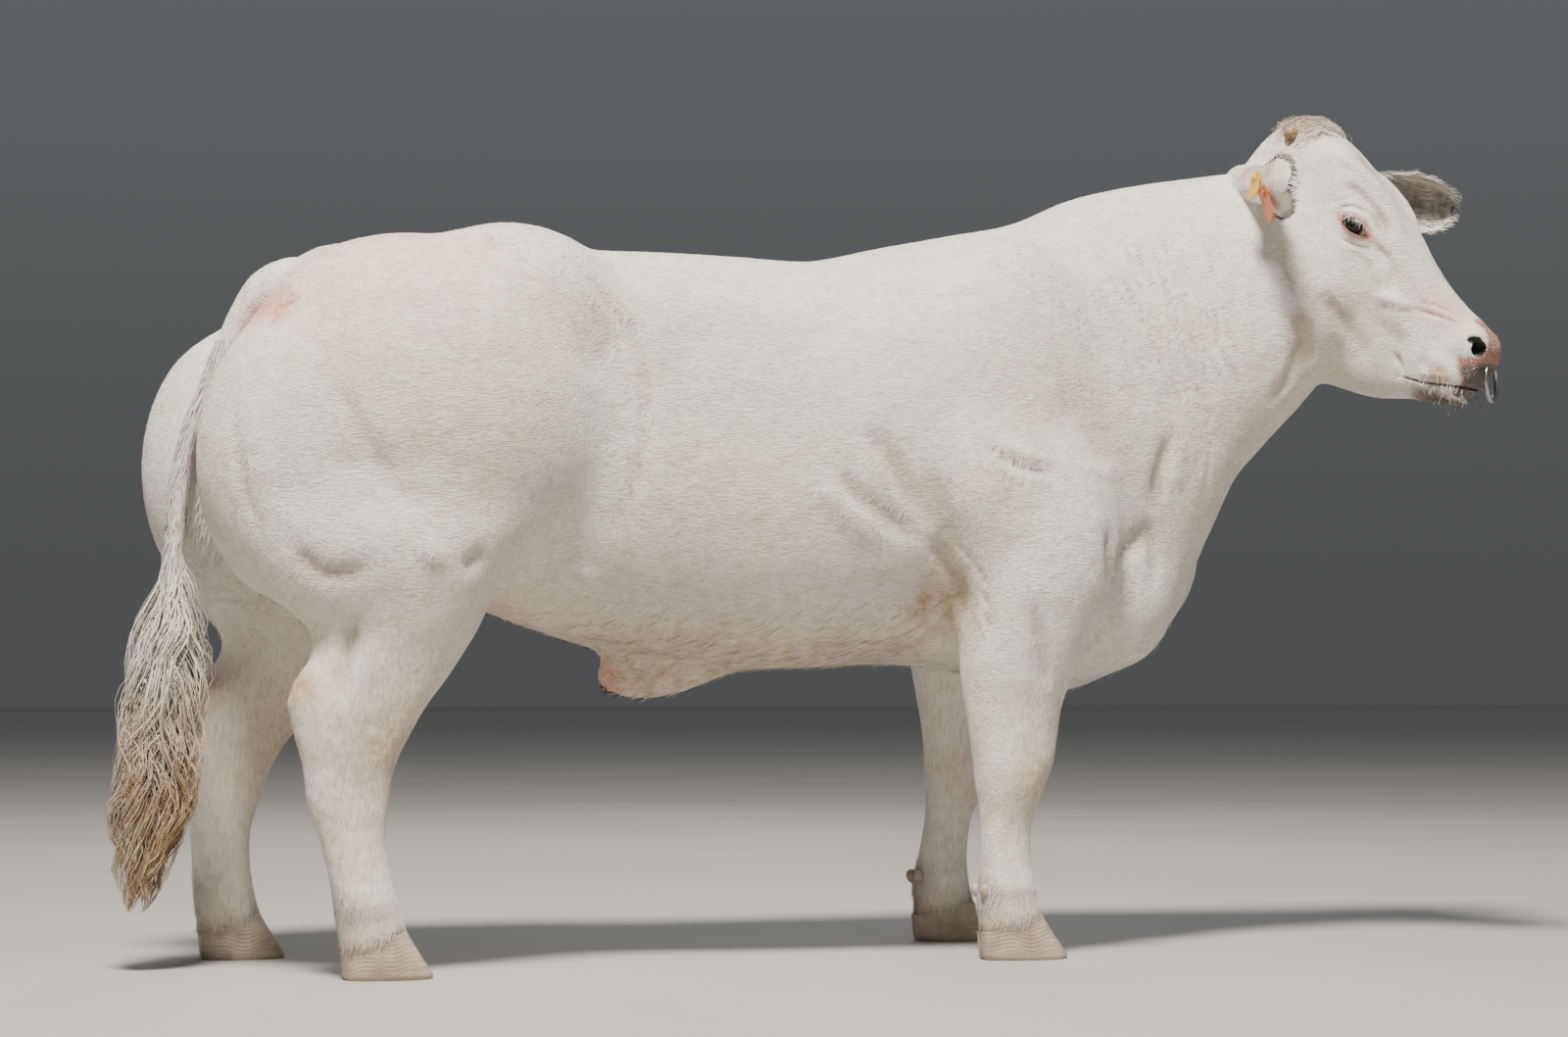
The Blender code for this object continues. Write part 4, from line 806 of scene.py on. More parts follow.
# Lines where the skin dips or stands proud, in millimetres in the drawing's frame on the right side: depth
# (a ridge is negative), half width, how far ahead the left one lies, and the points
creases = [
    (5, 24, 0, [(285, -258, 830), (325, -252, 730), (350, -240, 650)]),
    (2.2, 6, 0, [(564, -187, 1139), (606, -194, 1063), (639, -195, 994), (657, -199, 924)]),
    (2.8, 5.5, 0, [(623, -130, 1192), (658, -169, 1095), (700, -184, 1010), (729, -188, 942)]),
    (3, 5.5, 0, [(661, -115, 1223), (693, -153, 1141), (737, -180, 1027), (772, -185, 915)]),
    (3.2, 5.5, 0, [(720, -121, 1225), (740, -159, 1128), (755, -178, 1042), (788, -183, 895)]),
    (3.4, 5.5, 0, [(756, -127, 1226), (777, -178, 1056), (805, -182, 887), (814, -171, 819)]),
    (3.4, 6, 0, [(797, -138, 1226), (804, -180, 1065), (825, -179, 874), (825, -161, 784)]),
    (3.4, 6, 0, [(818, -161, 1174), (829, -188, 987), (842, -157, 785), (828, -130, 694)]),
    (2.4, 5, 0, [(852, -153, 1226), (849, -176, 1137), (848, -184, 1020)]),
    (3.2, 6, 0, [(889, -180, 1174), (886, -192, 1087), (893, -196, 1045)]),
    (7, 15, 0, [(765, -185, 906), (759, -182, 864), (745, -176, 805), (734, -166, 738)]),
    (-3, 20, 0, [(790, -178, 920), (782, -172, 840), (762, -165, 770)]),
    (6, 8, 0, [(381, -274, 849), (455, -279, 817), (494, -274, 813), (532, -259, 841)]),
    (-4.5, 16, 0, [(400, -278, 865), (460, -280, 838), (505, -272, 836)]),
    (8, 15, 0, [(741, -166, 747), (704, -171, 701), (624, -256, 651)]),
    (7, 14, 0, [(614, -263, 730), (618, -262, 657), (626, -238, 604)]),
    (6, 12, 0, [(733, -168, 747), (742, -160, 680), (742, -162, 607)]),
    (5, 12, 0, [(995, -210, 1060), (987, -193, 992), (948, -176, 934)]),
    (5, 11, -30, [(-339, -219, 1154), (-265, -226, 1098), (-210, -217, 1035), (-184, -227, 943),
        (-184, -230, 843), (-203, -222, 760), (-240, -202, 695), (-269, -185, 662)]),
    (-6, 12, 0, [(-340, -171, 650), (-283, -170, 637), (-225, -164, 608)]),
    (5, 18, 0, [(116, -258, 831), (169, -260, 765), (242, -255, 717), (289, -247, 684)]),
    (-5, 22, 0, [(90, -258, 800), (150, -260, 735), (230, -255, 685)]),
    (7, 14, 0, [(287, -252, 700), (320, -242, 669), (351, -229, 634), (371, -197, 533)]),
    (-2.5, 6, 0, [(-229, -218, 1060), (-206, -212, 1055), (-183, -212, 1049)]),
    (-3.5, 9, 0, [(331, -189, 1111), (367, -191, 1119), (408, -191, 1139)]),
    (2.8, 15, -30, [(-702, -264, 963), (-665, -286, 881), (-625, -290, 811), (-593, -294, 763),
        (-530, -302, 700)]),
    (4, 11, -58, [(-826, -218, 924), (-834, -230, 859), (-827, -238, 794), (-807, -240, 723),
        (-779, -244, 663)]),
    (6, 15, -50, [(-762, -258, 684), (-701, -276, 628), (-655, -290, 628), (-618, -300, 652)]),
    (5, 13, -50, [(-496, -293, 638), (-467, -285, 647), (-446, -281, 671)]),
    (-5, 16, -50, [(-560, -296, 665), (-530, -300, 655), (-505, -296, 650)]),
    (3.5, 18, 0, [(-434, -170, 1189), (-431, -210, 1161), (-422, -235, 1131)]),
    (6, 10, -58, [(-781, -199, 1011), (-768, -189, 1036), (-756, -188, 1051), (-726, -206, 1060)]),
    (7.5, 13, -95, [(-647, -273, 573), (-658, -250, 513), (-673, -254, 453), (-677, -257, 423)]),
    (4.5, 20, 0, [(161, -260, 883), (218, -264, 844), (261, -264, 773), (298, -256, 710)]),
    (3.4, 5.5, 0, [(345, -253, 690), (386, -249, 639), (402, -248, 610)]),
    (3.4, 5, 0, [(352, -241, 657), (395, -247, 598), (408, -245, 570)]),
    (3.4, 5, 0, [(358, -229, 625), (398, -245, 563), (408, -240, 540)]),
    (3, 5, 0, [(364, -219, 590), (396, -241, 534)]),
    (4, 16, 40, [(460, -281, 614), (485, -270, 518), (504, -248, 421)]),
]


# How much deeper the lines go than drawn, and the neck's fine wrinkles: how deep and how far apart
relief = {"body": 1.45, "face": 2.4, "ripple": 0.0020, "every": 0.023}


def lineDistance(p, line, steps=60):
    # nearest of the path's points, and how far along the path it lies
    path = curveThrough(line, steps)
    best, at = np.full(len(p), 9.0), np.zeros(len(p))
    for k, spot in enumerate(path):
        d = np.linalg.norm(p - spot, axis=1)
        closer = d < best
        best, at = np.where(closer, d, best), np.where(closer, k / (steps - 1), at)
    return best, at


def midY(p):
    # the trunk's own middle, which swings to the right in the neck
    return alongColumn(p[:, 0], *[[row[k] for row in body["trunk"]] for k in (0, 1)])


def neckRipples(p):
    # upright wrinkles that lean forwards at the foot, come and go, and fade out at the neck's ends
    lean = p[:, 0] + 0.22 * (p[:, 2] - 1.05) + 0.006 * ruffle(p, 0.10, 31)
    here = smooth(lean, 0.60, 0.70) * smooth(0.93 - lean, 0, 0.06) * smooth(p[:, 2], 0.80, 0.95)
    here = here * smooth(1.27 - p[:, 2], 0, 0.08) * np.clip(0.55 + 0.6 * ruffle(p, 0.13, 32), 0, 1)
    return relief["ripple"] * (0.5 + 0.5 * np.sin(2 * pi * lean / relief["every"])) * here


def creaseDepth(p):
    # each line sinks the skin by depth exp(-(r / width)2), fading out at its ends
    total = neckRipples(p)
    left = p[:, 1] > midY(p)
    for depth, width, ahead, line in creases:
        depth, width, ahead, line = depth / 1000, width / 1000, ahead / 1000, np.array(line) / 1000
        for side in (False, True):
            own = line.copy()
            if side:
                own[:, 0] += ahead
                own[:, 1] = 2 * midY(own) - own[:, 1]
            reach = 3 * width + 0.05
            box = ((p > own.min(0) - reach) & (p < own.max(0) + reach)).all(1) & (left == side)
            if not box.any():
                continue
            r, at = lineDistance(p[box], own)
            fade = smooth(at, -0.02, 0.35) * smooth(1 - at, -0.02, 0.35)
            total[box] += relief["body"] * depth * np.exp(-((r / width) ** 2)) * fade
    return total


def ruffle(p, scale, seed):
    # smooth random waves: a sum of sines in fixed random directions
    dice = np.random.default_rng(seed)
    ways = dice.normal(size=(9, 3))
    ways *= (2 * pi / scale / np.linalg.norm(ways, axis=1))[:, None] * dice.uniform(0.6, 1.4, 9)[:, None]
    return np.sin(p @ ways.T + dice.uniform(0, 2 * pi, 9)).sum(1) / 4.5


# Lines of the face in millimetres in the head's frame, the same on both sides, with depth and half width:
# brow ridge and the hollow beside it, folds of the lids, tear lines, lines of the nose, crest and hollow of
# the cheek, corner of the mouth, upper lip, hollow of the forehead
faceLines = [
    (-4.2, 11, [(57, 79, -38), (115, 81, -29), (159, 76, -31), (196, 69, -41), (225, 60, -52),
        (255, 59, -69), (281, 65, -93)]),
    (4.8, 12, [(129, 97, -66), (170, 99, -63), (209, 93, -69), (241, 84, -88), (264, 80, -108)]),
    (1.8, 2.6, [(149, 102, -131), (157, 99, -106), (178, 100, -89), (206, 98, -86), (232, 92, -98)]),
    (1.4, 3, [(138, 101, -123), (148, 99, -96), (172, 101, -76), (207, 95, -73)]),
    (-2.4, 4.2, [(160, 102, -116), (178, 103, -98), (202, 101, -95), (226, 96, -104)]),
    (1.8, 2.8, [(168, 104, -140), (188, 103, -146), (211, 96, -144), (236, 90, -136), (250, 87, -122)]),
    (-1.6, 3.6, [(172, 105, -132), (195, 104, -136), (222, 97, -132)]),
    (3.4, 7, [(244, 87, -116), (262, 83, -126), (294, 76, -141), (317, 75, -173)]),
    (-2.4, 8, [(237, 90, -136), (265, 83, -154), (292, 80, -180)]),
    (2, 4.5, [(335, 75, -198), (375, 63, -174), (415, 55, -161), (456, 55, -151)]),
    (1.5, 4.5, [(349, 66, -166), (389, 56, -152), (430, 42, -144)]),
    (-3, 10, [(290, 81, -196), (329, 74, -184), (366, 65, -176)]),
    (5, 16, [(205, 138, -280), (250, 114, -322), (275, 103, -366)]),
    (4.2, 15, [(215, 121, -235), (277, 88, -262), (325, 66, -285), (350, 55, -320)]),
    (3.2, 5, [(372, 56, -256), (392, 53, -268), (404, 50, -285), (402, 47, -300)]),
    (-2.6, 8, [(425, 52, -262), (455, 55, -250), (485, 55, -236)]),
    (6, 30, [(90, 0, -2), (180, 0, -30), (270, 0, -64)]),
]


def faceDepth(p):
    # the same dip for the face's lines
    total = np.zeros(len(p))
    near = headZone(p)
    m = mirrored(toHead(p[near]))
    for depth, width, line in faceLines:
        depth, width = depth / 1000, width / 1000
        r, at = lineDistance(m, np.array(line) / 1000)
        fade = smooth(at, -0.02, 0.30) * smooth(1 - at, -0.02, 0.30)
        total[near] += relief["face"] * depth * np.exp(-((r / width) ** 2)) * fade
    return total


creased = readPoints(skinMesh)
sink = creaseDepth(creased) + faceDepth(creased)
creased -= readNormals(skinMesh) * sink[:, None]
writePoints(skinMesh, creased)
print("creases pressed in")


def linear(code):
    # sRGB hex to the linear values that Blender's sockets take
    channels = [int(code[i:i + 2], 16) / 255 for i in (0, 2, 4)]
    return [v / 12.92 if v <= 0.04045 else ((v + 0.055) / 1.055) ** 2.4 for v in channels] + [1.0]


def node(tree, kind, give=0, **settings):
    # adds a node and returns its output: a setting is a property or an input, by name or as inNUMBER, and
    # its value a constant, a hex colour or another node's output, which is linked
    made = tree.nodes.new("ShaderNode" + kind)
    later = {}
    for name, value in settings.items():
        if not name[2:].isdigit() and hasattr(made, name):
            setattr(made, name, value)
        else:
            later[name] = value
    for name, value in later.items():
        socket = made.inputs[int(name[2:]) if name[2:].isdigit() else name.replace("_", " ")]
        if isinstance(value, bpy.types.NodeSocket):
            tree.links.new(value, socket)
        else:
            socket.default_value = linear(value) if isinstance(value, str) else value
    return made.outputs[give] if made.outputs else made


def newMaterial(name):
    made = bpy.data.materials.new(name)
    made.use_nodes = True
    made.node_tree.nodes.clear()
    return made, made.node_tree


def eased(tree, value, low, high, start, end):
    # start where the value is low, end where it is high, and a soft step between
    return node(tree, "MapRange", interpolation_type="SMOOTHSTEP", in0=value, in1=low, in2=high,
                in3=start, in4=end)


def laidOver(tree, colour, layers):
    # each layer's colour comes over the ones before it as its value runs from low to high, up to its share
    for value, low, high, share, layer in layers:
        part = eased(tree, value, low, high, 0.0, share)
        colour = node(tree, "Mix", 2, data_type="RGBA", in0=part, in6=colour, in7=layer)
    return colour


def tinted(tree, part, colour, tint):
    # the colour times a tint, by a share
    return node(tree, "Mix", 2, data_type="RGBA", blend_type="MULTIPLY", in0=part, in6=colour, in7=tint)


def noise(tree, place, scale, **settings):
    return node(tree, "TexNoise", Vector=place, Scale=scale, **settings)


def marked(tree, name):
    # a mark that is stored on the points
    return node(tree, "Attribute", 2, attribute_name=name)


def finished(made, tree, colour, rough, **settings):
    # closes a material with its shader
    shader = node(tree, "BsdfPrincipled", Base_Color=colour, Roughness=rough, **settings)
    node(tree, "OutputMaterial", Surface=shader)
    return made


# Colours of hide and coat, matched to the photo's lit and shaded sides
hair = {
    "marks": ("pink", "stainAndShade", "greyAndShade", "ink", "rosy", "fold"),
    "cream": "E6E2DA",
    "warmCream": "DED5C4",
    "coolCream": "DAD5D2",
    "rosyCream": "E6CFC2",
    # stains of dirt and wear, also used as painted shade under the belly and on the chin
    "stainAndShade": "B08F62",
    "deepStain": "7E5B38",
    "pink": "DE9C8A",
    # grey skin, also used for painted shade on the chin and along the right ear's rim
    "greySkinAndShade": "6A5F5B",
    "ink": "241E1D",
    # painted shade for the partings between clumps; the tufts also take it for their random tone
    "partings": "BCAD98",
    # painted shade: the darker cream laid into creases and wrinkles
    "folds": "B09F89",
    "dapple": {"stainAndShade": (60.0, 0.78, 1.22), "pink": (60.0, 0.80, 1.15), "greyAndShade": (95.0, 0.70, 1.15)},
    # how hair lies on trunk, legs and head: the flow's turn and its scale
    "lays": [((0, radians(-52), 0), (75, 270, 270)), ((0, radians(6), 0), (230, 230, 50)),
             ((0, radians(36), radians(45)), (60, 300, 300))],
    "roughness": 0.80,
    "wetRoughness": 0.26,
    "sheen": {"Sheen_Weight": 0.22, "Sheen_Roughness": 0.45},
}


def coatColour(tree, place):
    # the markings that the skin and the tufts share: cream, clouded, then darkened by painted shade in the
    # creases, stained, pink, grey and inked; the stain also paints shade under the belly and on the chin, and
    # the grey on the chin and along the right ear's rim
    marks = {k: marked(tree, k) for k in hair["marks"]}
    clouds = {k: noise(tree, place, k, Detail=4.0, Roughness=0.55) for k in (2.6, 5.5, 17.0, 60.0, 95.0)}
    dappled = {}
    for name, (cloud, low, high) in hair["dapple"].items():
        part = node(tree, "MapRange", in0=clouds[cloud], in1=0.32, in2=0.66, in3=low, in4=high)
        dappled[name] = node(tree, "Math", operation="MULTIPLY", in0=marks[name], in1=part)
    return laidOver(tree, hair["cream"], [
        (clouds[2.6], 0.40, 0.64, 0.75, hair["warmCream"]),
        (clouds[5.5], 0.46, 0.68, 0.60, hair["coolCream"]),
        (clouds[17.0], 0.48, 0.72, 0.30, hair["warmCream"]),
        (marks["rosy"], 0.0, 1.0, 1.0, hair["rosyCream"]),
        # painted shade in the creases, as deep as each one is pressed in
        (marks["fold"], 0.1, 1.0, 0.60, hair["folds"]),
        (dappled["stainAndShade"], 0.0, 0.8, 1.0, hair["stainAndShade"]),
        (dappled["stainAndShade"], 0.8, 1.3, 1.0, hair["deepStain"]),
        (dappled["pink"], 0.0, 1.0, 1.0, hair["pink"]),
        (dappled["greyAndShade"], 0.0, 1.0, 1.0, hair["greySkinAndShade"]),
        (marks["ink"], 0.0, 1.0, 1.0, hair["ink"]),
    ])


def hideMaterial():
    # short dense hair over skin, licked flat by the tongue and the rain: matt, faintly silky cream whose hair
    # lies in clumps along the body, with painted shade in the partings between them. Real clumps are 1 to 2
    # mm across, and are drawn 3 to 5 mm across, so that they show; the bare nose is wet and cobbled every 4
    # mm
    made, tree = newMaterial("shortCoatedHide")
    place = node(tree, "TexCoord", "Object")
    colour = coatColour(tree, place)
    onLegs, onHead, bare, wet = [marked(tree, k) for k in ("onLegs", "onHead", "bare", "wet")]
    flows = [node(tree, "Mapping", Vector=place, Rotation=turn, Scale=size) for turn, size in hair["lays"]]
    lays = [noise(tree, flow, 1.0, Detail=3.5, Roughness=0.62) for flow in flows]
    lay = node(tree, "Mix", data_type="FLOAT", in0=onLegs, in2=lays[0], in3=lays[1])
    lay = node(tree, "Mix", data_type="FLOAT", in0=onHead, in2=lay, in3=lays[2])
    locks = noise(tree, place, 38.0, Detail=2.0, Distortion=0.6)
    lay = node(tree, "Mix", data_type="FLOAT", in0=0.28, in2=lay, in3=locks)
    # painted shade: darker cream in the partings between the clumps
    colour = tinted(tree, eased(tree, lay, 0.36, 0.60, 0.46, 0.0), colour, hair["partings"])
    cobbles = node(tree, "TexVoronoi", Vector=place, Scale=240.0, feature="DISTANCE_TO_EDGE")
    cobbles = node(tree, "MapRange", in0=cobbles, in1=0.0, in2=0.3)
    height = node(tree, "Mix", data_type="FLOAT", in0=bare, in2=lay, in3=cobbles)
    swells = noise(tree, place, 15.0, Detail=2.5, Roughness=0.5)
    swells = node(tree, "Bump", Strength=0.55, Distance=0.012, Height=swells)
    bump = node(tree, "Bump", Strength=1.0, Distance=0.0034, Height=height, Normal=swells)
    rough = node(tree, "MapRange", in0=wet, in3=hair["roughness"], in4=hair["wetRoughness"])
    return finished(made, tree, colour, rough, Normal=bump, IOR=1.45, **hair["sheen"])


def tuftMaterial(name, root, rough):
    # hair in tufts: the same markings as the hide, a little deeper at the roots and from tuft to tuft
    made, tree = newMaterial(name)
    colour = coatColour(tree, node(tree, "TexCoord", "Object"))
    for mark, deep, tint in (("along", 0.14, root), ("tone", 0.13, hair["partings"])):
        part = node(tree, "MapRange", in0=marked(tree, mark), in1=0.0, in2=1.0, in3=deep, in4=0.0)
        colour = tinted(tree, part, colour, tint)
    return finished(made, tree, colour, rough, IOR=1.5, **hair["sheen"])


def spot(p, middle, radii, soft=0.35):
    # 1 inside an ellipsoid, falling to 0 over the soft share of its radii
    r = np.sqrt((((p - np.array(middle)) / np.array(radii)) ** 2).sum(1))
    return 1 - smooth(r, 1 - soft, 1 + soft)


def markings(p):
    # where the coat is pink, stained, grey or inked, where painted shade darkens it in creases, under the
    # belly, on the chin and along an ear's rim, and how bare and how wet the skin is, for any point. Each
    # colour's places are listed, and the strongest one counts
    x, y, z = p.T
    q = toHead(p)
    m = mirrored(q)
    along, out, up = m.T
    both = mirrored(p)
    wave = ruffle(p, 0.05, 3)
    onHead = smooth(along, -0.02, 0.10) * (x > 0.9) * smooth(up, -0.45, -0.36)

    lids = fissurePlace(m)
    eyeRing = fissureShare(lids)
    byEye = np.linalg.norm(m - np.array(head["eye"]), axis=1) < 0.07
    nose = smooth(along + 0.35 * (up + 0.20), 0.466, 0.480) * (up > -0.262) * (out < 0.08) * (along < 0.56)
    nose = nose * (1 - smooth(out + 0.5 * np.abs(up + 0.205), 0.062, 0.072))
    hole = (1 - smooth(nostrilDistance(m), 0.0006, 0.0026)) * (along > 0.4) * (along < 0.6)
    lips = 1 - smooth(np.abs(mouthLine(m)), 0.0015, 0.0045)
    lips = lips * smooth(along, 0.39, 0.41) * (along < 0.6) * (out < 0.09)
    # the chin's dark hair together with painted shade under the jaw
    chin = spot(m, (0.476, 0.0, -0.292), (0.050, 0.055, 0.028), 0.5)
    underTail = spot(p, (-0.745, 0, 1.03), (0.055, 0.060, 0.060), 0.5)
    innerThigh = smooth(0.15 - np.abs(y), 0, 0.08) * spot(p, (-0.42, 0, 0.66), (0.22, 0.20, 0.14), 0.4)
    # the underside: real staining, with painted shade where the belly turns down from the light
    belly = smooth(0.62 - z, 0.0, 0.12) * (z > 0.42) * smooth(np.abs(x - 0.02), 0.40, 0.28)
    tailEnd = smooth(0.70 - z, 0, 0.45) * (x < -0.86) * (np.abs(y) < 0.12)

    pink = [0.45 * spot(m, (0.40, 0.055, -0.150), (0.075, 0.045, 0.035), 0.7),
            0.90 * (1 - smooth(eyeRing, 1.20, 2.20)) * byEye,
            nose,
            0.9 * underTail,
            0.75 * spot(both, (-0.762, 0.150, 1.045), (0.045, 0.060, 0.045), 0.6),
            0.40 * spot(p, (-0.545, 0, 0.500), (0.09, 0.09, 0.11), 0.3)
            + 0.5 * spot(p, (-0.185, 0, 0.455), (0.03, 0.04, 0.04), 0.5),
            0.35 * innerThigh]
    # stains of dirt and wear; the belly's entry also paints shade on the underside, and the chin's entry
    # paints shade under the jaw
    stainAndShade = [0.40 * belly * (1 + 0.2 * wave),
             0.46 * (1 + 0.35 * wave) * spot(both, (0.335, 0.190, 0.585), (0.075, 0.10, 0.070), 0.9),
             0.55 * spot(m, (0.462, 0.060, -0.245), (0.020, 0.030, 0.016), 0.7),
             0.40 * spot(m, (-0.01, 0.03, -0.02), (0.06, 0.09, 0.05), 0.7),
             0.9 * tailEnd * (0.75 + 0.3 * wave),
             0.6 * chin]
    # point of the hock, front of the hock and knee, then the pastern, with the left legs' own steps
    for sign, back, fore in ((-1, 0.0, 0.0), (1, -0.10, 0.045)):
        side = np.sign(y) == sign
        for deep, cx, cy, cz, radii, soft in (
                (0.55, -0.735 + back, 0.2, 0.452, (0.035, 0.09, 0.035), 0.8),
                (0.42, -0.60 + back, 0.21, 0.36, (0.07, 0.09, 0.10), 0.9),
                (0.40, 0.49 + fore, 0.19, 0.30, (0.06, 0.08, 0.07), 0.9)):
            stainAndShade.append(deep * side * spot(p, (cx, sign * cy, cz), radii, soft))
        stainAndShade.append(0.50 * side * smooth(0.13 - z, 0, 0.10) * (0.8 + 0.3 * wave))
    # grey skin of the nose; the chin's entry is dark hair with painted shade
    greyAndShade = [0.95 * nose * smooth(-(up + 0.190) + 0.90 * (along - 0.500), 0.0, 0.020), 0.85 * chin]
    for side in ear["places"]:
        u, v, lift = earPlace(side, p)
        onEar = (u > 0.0) * (u < 1.05) * (np.abs(v) < 1.1) * (np.abs(lift - 0.003) < 0.009) * (x > 0.9)
        hollow = onEar * smooth(lift, 0.0025, 0.0045)
        deep = hollow * (1 - smooth(np.abs(v), 0.55, 0.95)) * smooth(u, 0.0, 0.15)
        greyAndShade.append(0.80 * deep * (0.8 + 0.2 * wave))
        if side == "right":
            back = onEar * (1 - smooth(lift, 0.0025, 0.0045))
            upper = smooth(0.85 - u, 0.0, 0.35) * smooth(v, -0.1, 0.35)
            # the right ear's back is mottled grey and pink skin; the dark band along one rim is painted
            # shadow
            greyAndShade += [0.62 * back * upper * (0.8 + 0.3 * wave), 0.75 * onEar * smooth(v, 0.86, 0.96)]
            pink.append(0.40 * back * upper)
    freckles = smooth(ruffle(p, 0.009, 5) + 0.6 * ruffle(p, 0.016, 6), 0.75, 1.1)
    lidLine = np.exp(-((eyeRing - 1.02) / 0.10) ** 2) * byEye * smooth(lids[:, 1], -0.022, -0.012)
    ink = [nose * freckles * (up > -0.215), 0.75 * lidLine, hole, 0.5 * lips]

    onLegs = smooth(0.62 - z, 0.0, 0.16) * (smooth(np.abs(x - 0.05), 0.36, 0.42)) * (1 - onHead)
    return {
        "pink": np.maximum.reduce(pink),
        "rosy": 0.75 * spot(both, (-0.60, 0.16, 1.10), (0.22, 0.14, 0.16), 0.9),
        # painted shade: darker where the skin is pressed into creases and wrinkles
        "fold": np.clip((creaseDepth(p) + faceDepth(p)) / 0.006, 0, 1),
        "stainAndShade": np.maximum.reduce(stainAndShade),
        "greyAndShade": np.maximum.reduce(greyAndShade),
        "ink": np.maximum.reduce(ink),
        "bare": np.maximum.reduce([nose, underTail, hole, byEye * (1 - smooth(eyeRing, 1.10, 1.35))]),
        "wet": np.maximum(0.8 * nose, 0.6 * byEye * (1 - smooth(eyeRing, 1.0, 1.2))),
        "onLegs": np.maximum(onLegs, (x < -0.80) * (np.abs(y) < 0.06) * 1.0),
        "onHead": onHead,
    }


def setMarks(mesh, marks):
    for name, values in marks.items():
        layer = mesh.attributes.new(name, "FLOAT", "POINT")
        layer.data.foreach_set("value", np.ascontiguousarray(values, np.float32))


setMarks(skinMesh, markings(readPoints(skinMesh)))
hide = hideMaterial()
flesh = ["head", "neck", "torso", "tail", "scrotum", "ear_left", "ear_right"]
for leg in ("foreleg_left", "foreleg_right", "hindleg_left", "hindleg_right"):
    flesh += [leg + "_upper", leg + "_lower"]


# The coat: thin closed tufts that lie along the hair's way, rooted just under the skin. Each zone has
# its number of tufts, length, width, how high the tips stand, segments, and how much each waves
coat = {
    "seed": 7,
    "most": 190000,  # triangles in one piece
    "zones": {
        "torso": (27000, 0.0165, 0.0024, 0.0013, 2, 0.0),
        "haunch": (24000, 0.0150, 0.0024, 0.0013, 2, 0.0),
        "neck": (16000, 0.0150, 0.0022, 0.0013, 2, 0.0),
        "legs": (17000, 0.0120, 0.0021, 0.0013, 2, 0.0),
        "head": (20000, 0.0085, 0.0016, 0.0010, 2, 0.0),
        "dock": (3600, 0.030, 0.0026, 0.0050, 3, 0.002),
        "fringe": (2600, 0.026, 0.0022, 0.0050, 3, 0.002),
        "poll": (1900, 0.024, 0.0018, 0.0070, 5, 0.0040),
        "ears": (3600, 0.021, 0.0014, 0.0060, 4, 0.0020),
        "feet": (5200, 0.021, 0.0018, 0.0030, 3, 0.0015),
        "chin": (900, 0.014, 0.0014, 0.0060, 3, 0.0010),
    },
    "patch": 0.0015,  # half a tuft's size on the bake's map
    "ruffled": 0.16,
    "taper": 0.7,
}
dice = np.random.default_rng(coat["seed"])


def unwrap(mesh):
    # Blender's smart projection of the skin's own shape, read per corner
    holder = placed("unwrap", mesh)
    bpy.context.view_layer.objects.active = holder
    holder.select_set(True)
    mesh.uv_layers.new(name="skinPlan")
    bpy.ops.object.mode_set(mode="EDIT")
    bpy.ops.mesh.select_all(action="SELECT")
    bpy.ops.uv.smart_project(angle_limit=radians(66), island_margin=0.001)
    bpy.ops.object.mode_set(mode="OBJECT")
    plan = np.empty(len(mesh.loops) * 2, np.float32)
    mesh.uv_layers["skinPlan"].data.foreach_get("uv", plan)
    bpy.data.objects.remove(holder, do_unlink=True)
    return plan.reshape(-1, 2)


def readTriangles(mesh, what):
    # three of the mesh's vertices or loops for each of its triangles
    read = np.empty(len(mesh.loop_triangles) * 3, np.int32)
    mesh.loop_triangles.foreach_get(what, read)
    return read.reshape(-1, 3)


skinPlan = unwrap(skinMesh)
skinMesh.uv_layers.remove(skinMesh.uv_layers["skinPlan"])
skinMesh.calc_loop_triangles()
triangles, triangleLoops = [readTriangles(skinMesh, k) for k in ("vertices", "loops")]
skinPoints, skinNormals = readPoints(skinMesh), readNormals(skinMesh)
corner = skinPoints[triangles]
flatNormal = np.cross(corner[:, 1] - corner[:, 0], corner[:, 2] - corner[:, 0])
triangleArea = np.linalg.norm(flatNormal, axis=1) / 2
triangleFacing = flatNormal[:, 2] / (np.linalg.norm(flatNormal, axis=1) + 1e-12)
triangleMiddle = corner.mean(1)
triangleMarks = {k: v[triangles].mean(1) for k, v in markings(skinPoints).items()}
print("skin unwrapped")


def rootsIn(weight, count):
    # places picked over the skin's area times the weight, with their normals and their spot on the plan
    share = triangleArea * weight
    picked = dice.choice(len(share), count, p=share / share.sum())
    a, b = dice.random((2, count))
    flip = a + b > 1
    a, b = np.where(flip, 1 - a, a), np.where(flip, 1 - b, b)
    bary = np.stack([1 - a - b, a, b], 1)
    spots = (skinPoints[triangles[picked]] * bary[..., None]).sum(1)
    normals = (skinNormals[triangles[picked]] * bary[..., None]).sum(1)
    normals /= np.linalg.norm(normals, axis=1)[:, None]
    plan = (skinPlan[triangleLoops[picked]] * bary[..., None]).sum(1)
    return spots, normals, plan


def earCover(side, p):
    # 1 on the ear's own skin and 0 elsewhere
    u, v, lift = earPlace(side, p)
    return ((u > 0.03) & (u < 1.05) & (np.abs(v) < 1.1) & (np.abs(lift - 0.003) < 0.009)).astype(float)


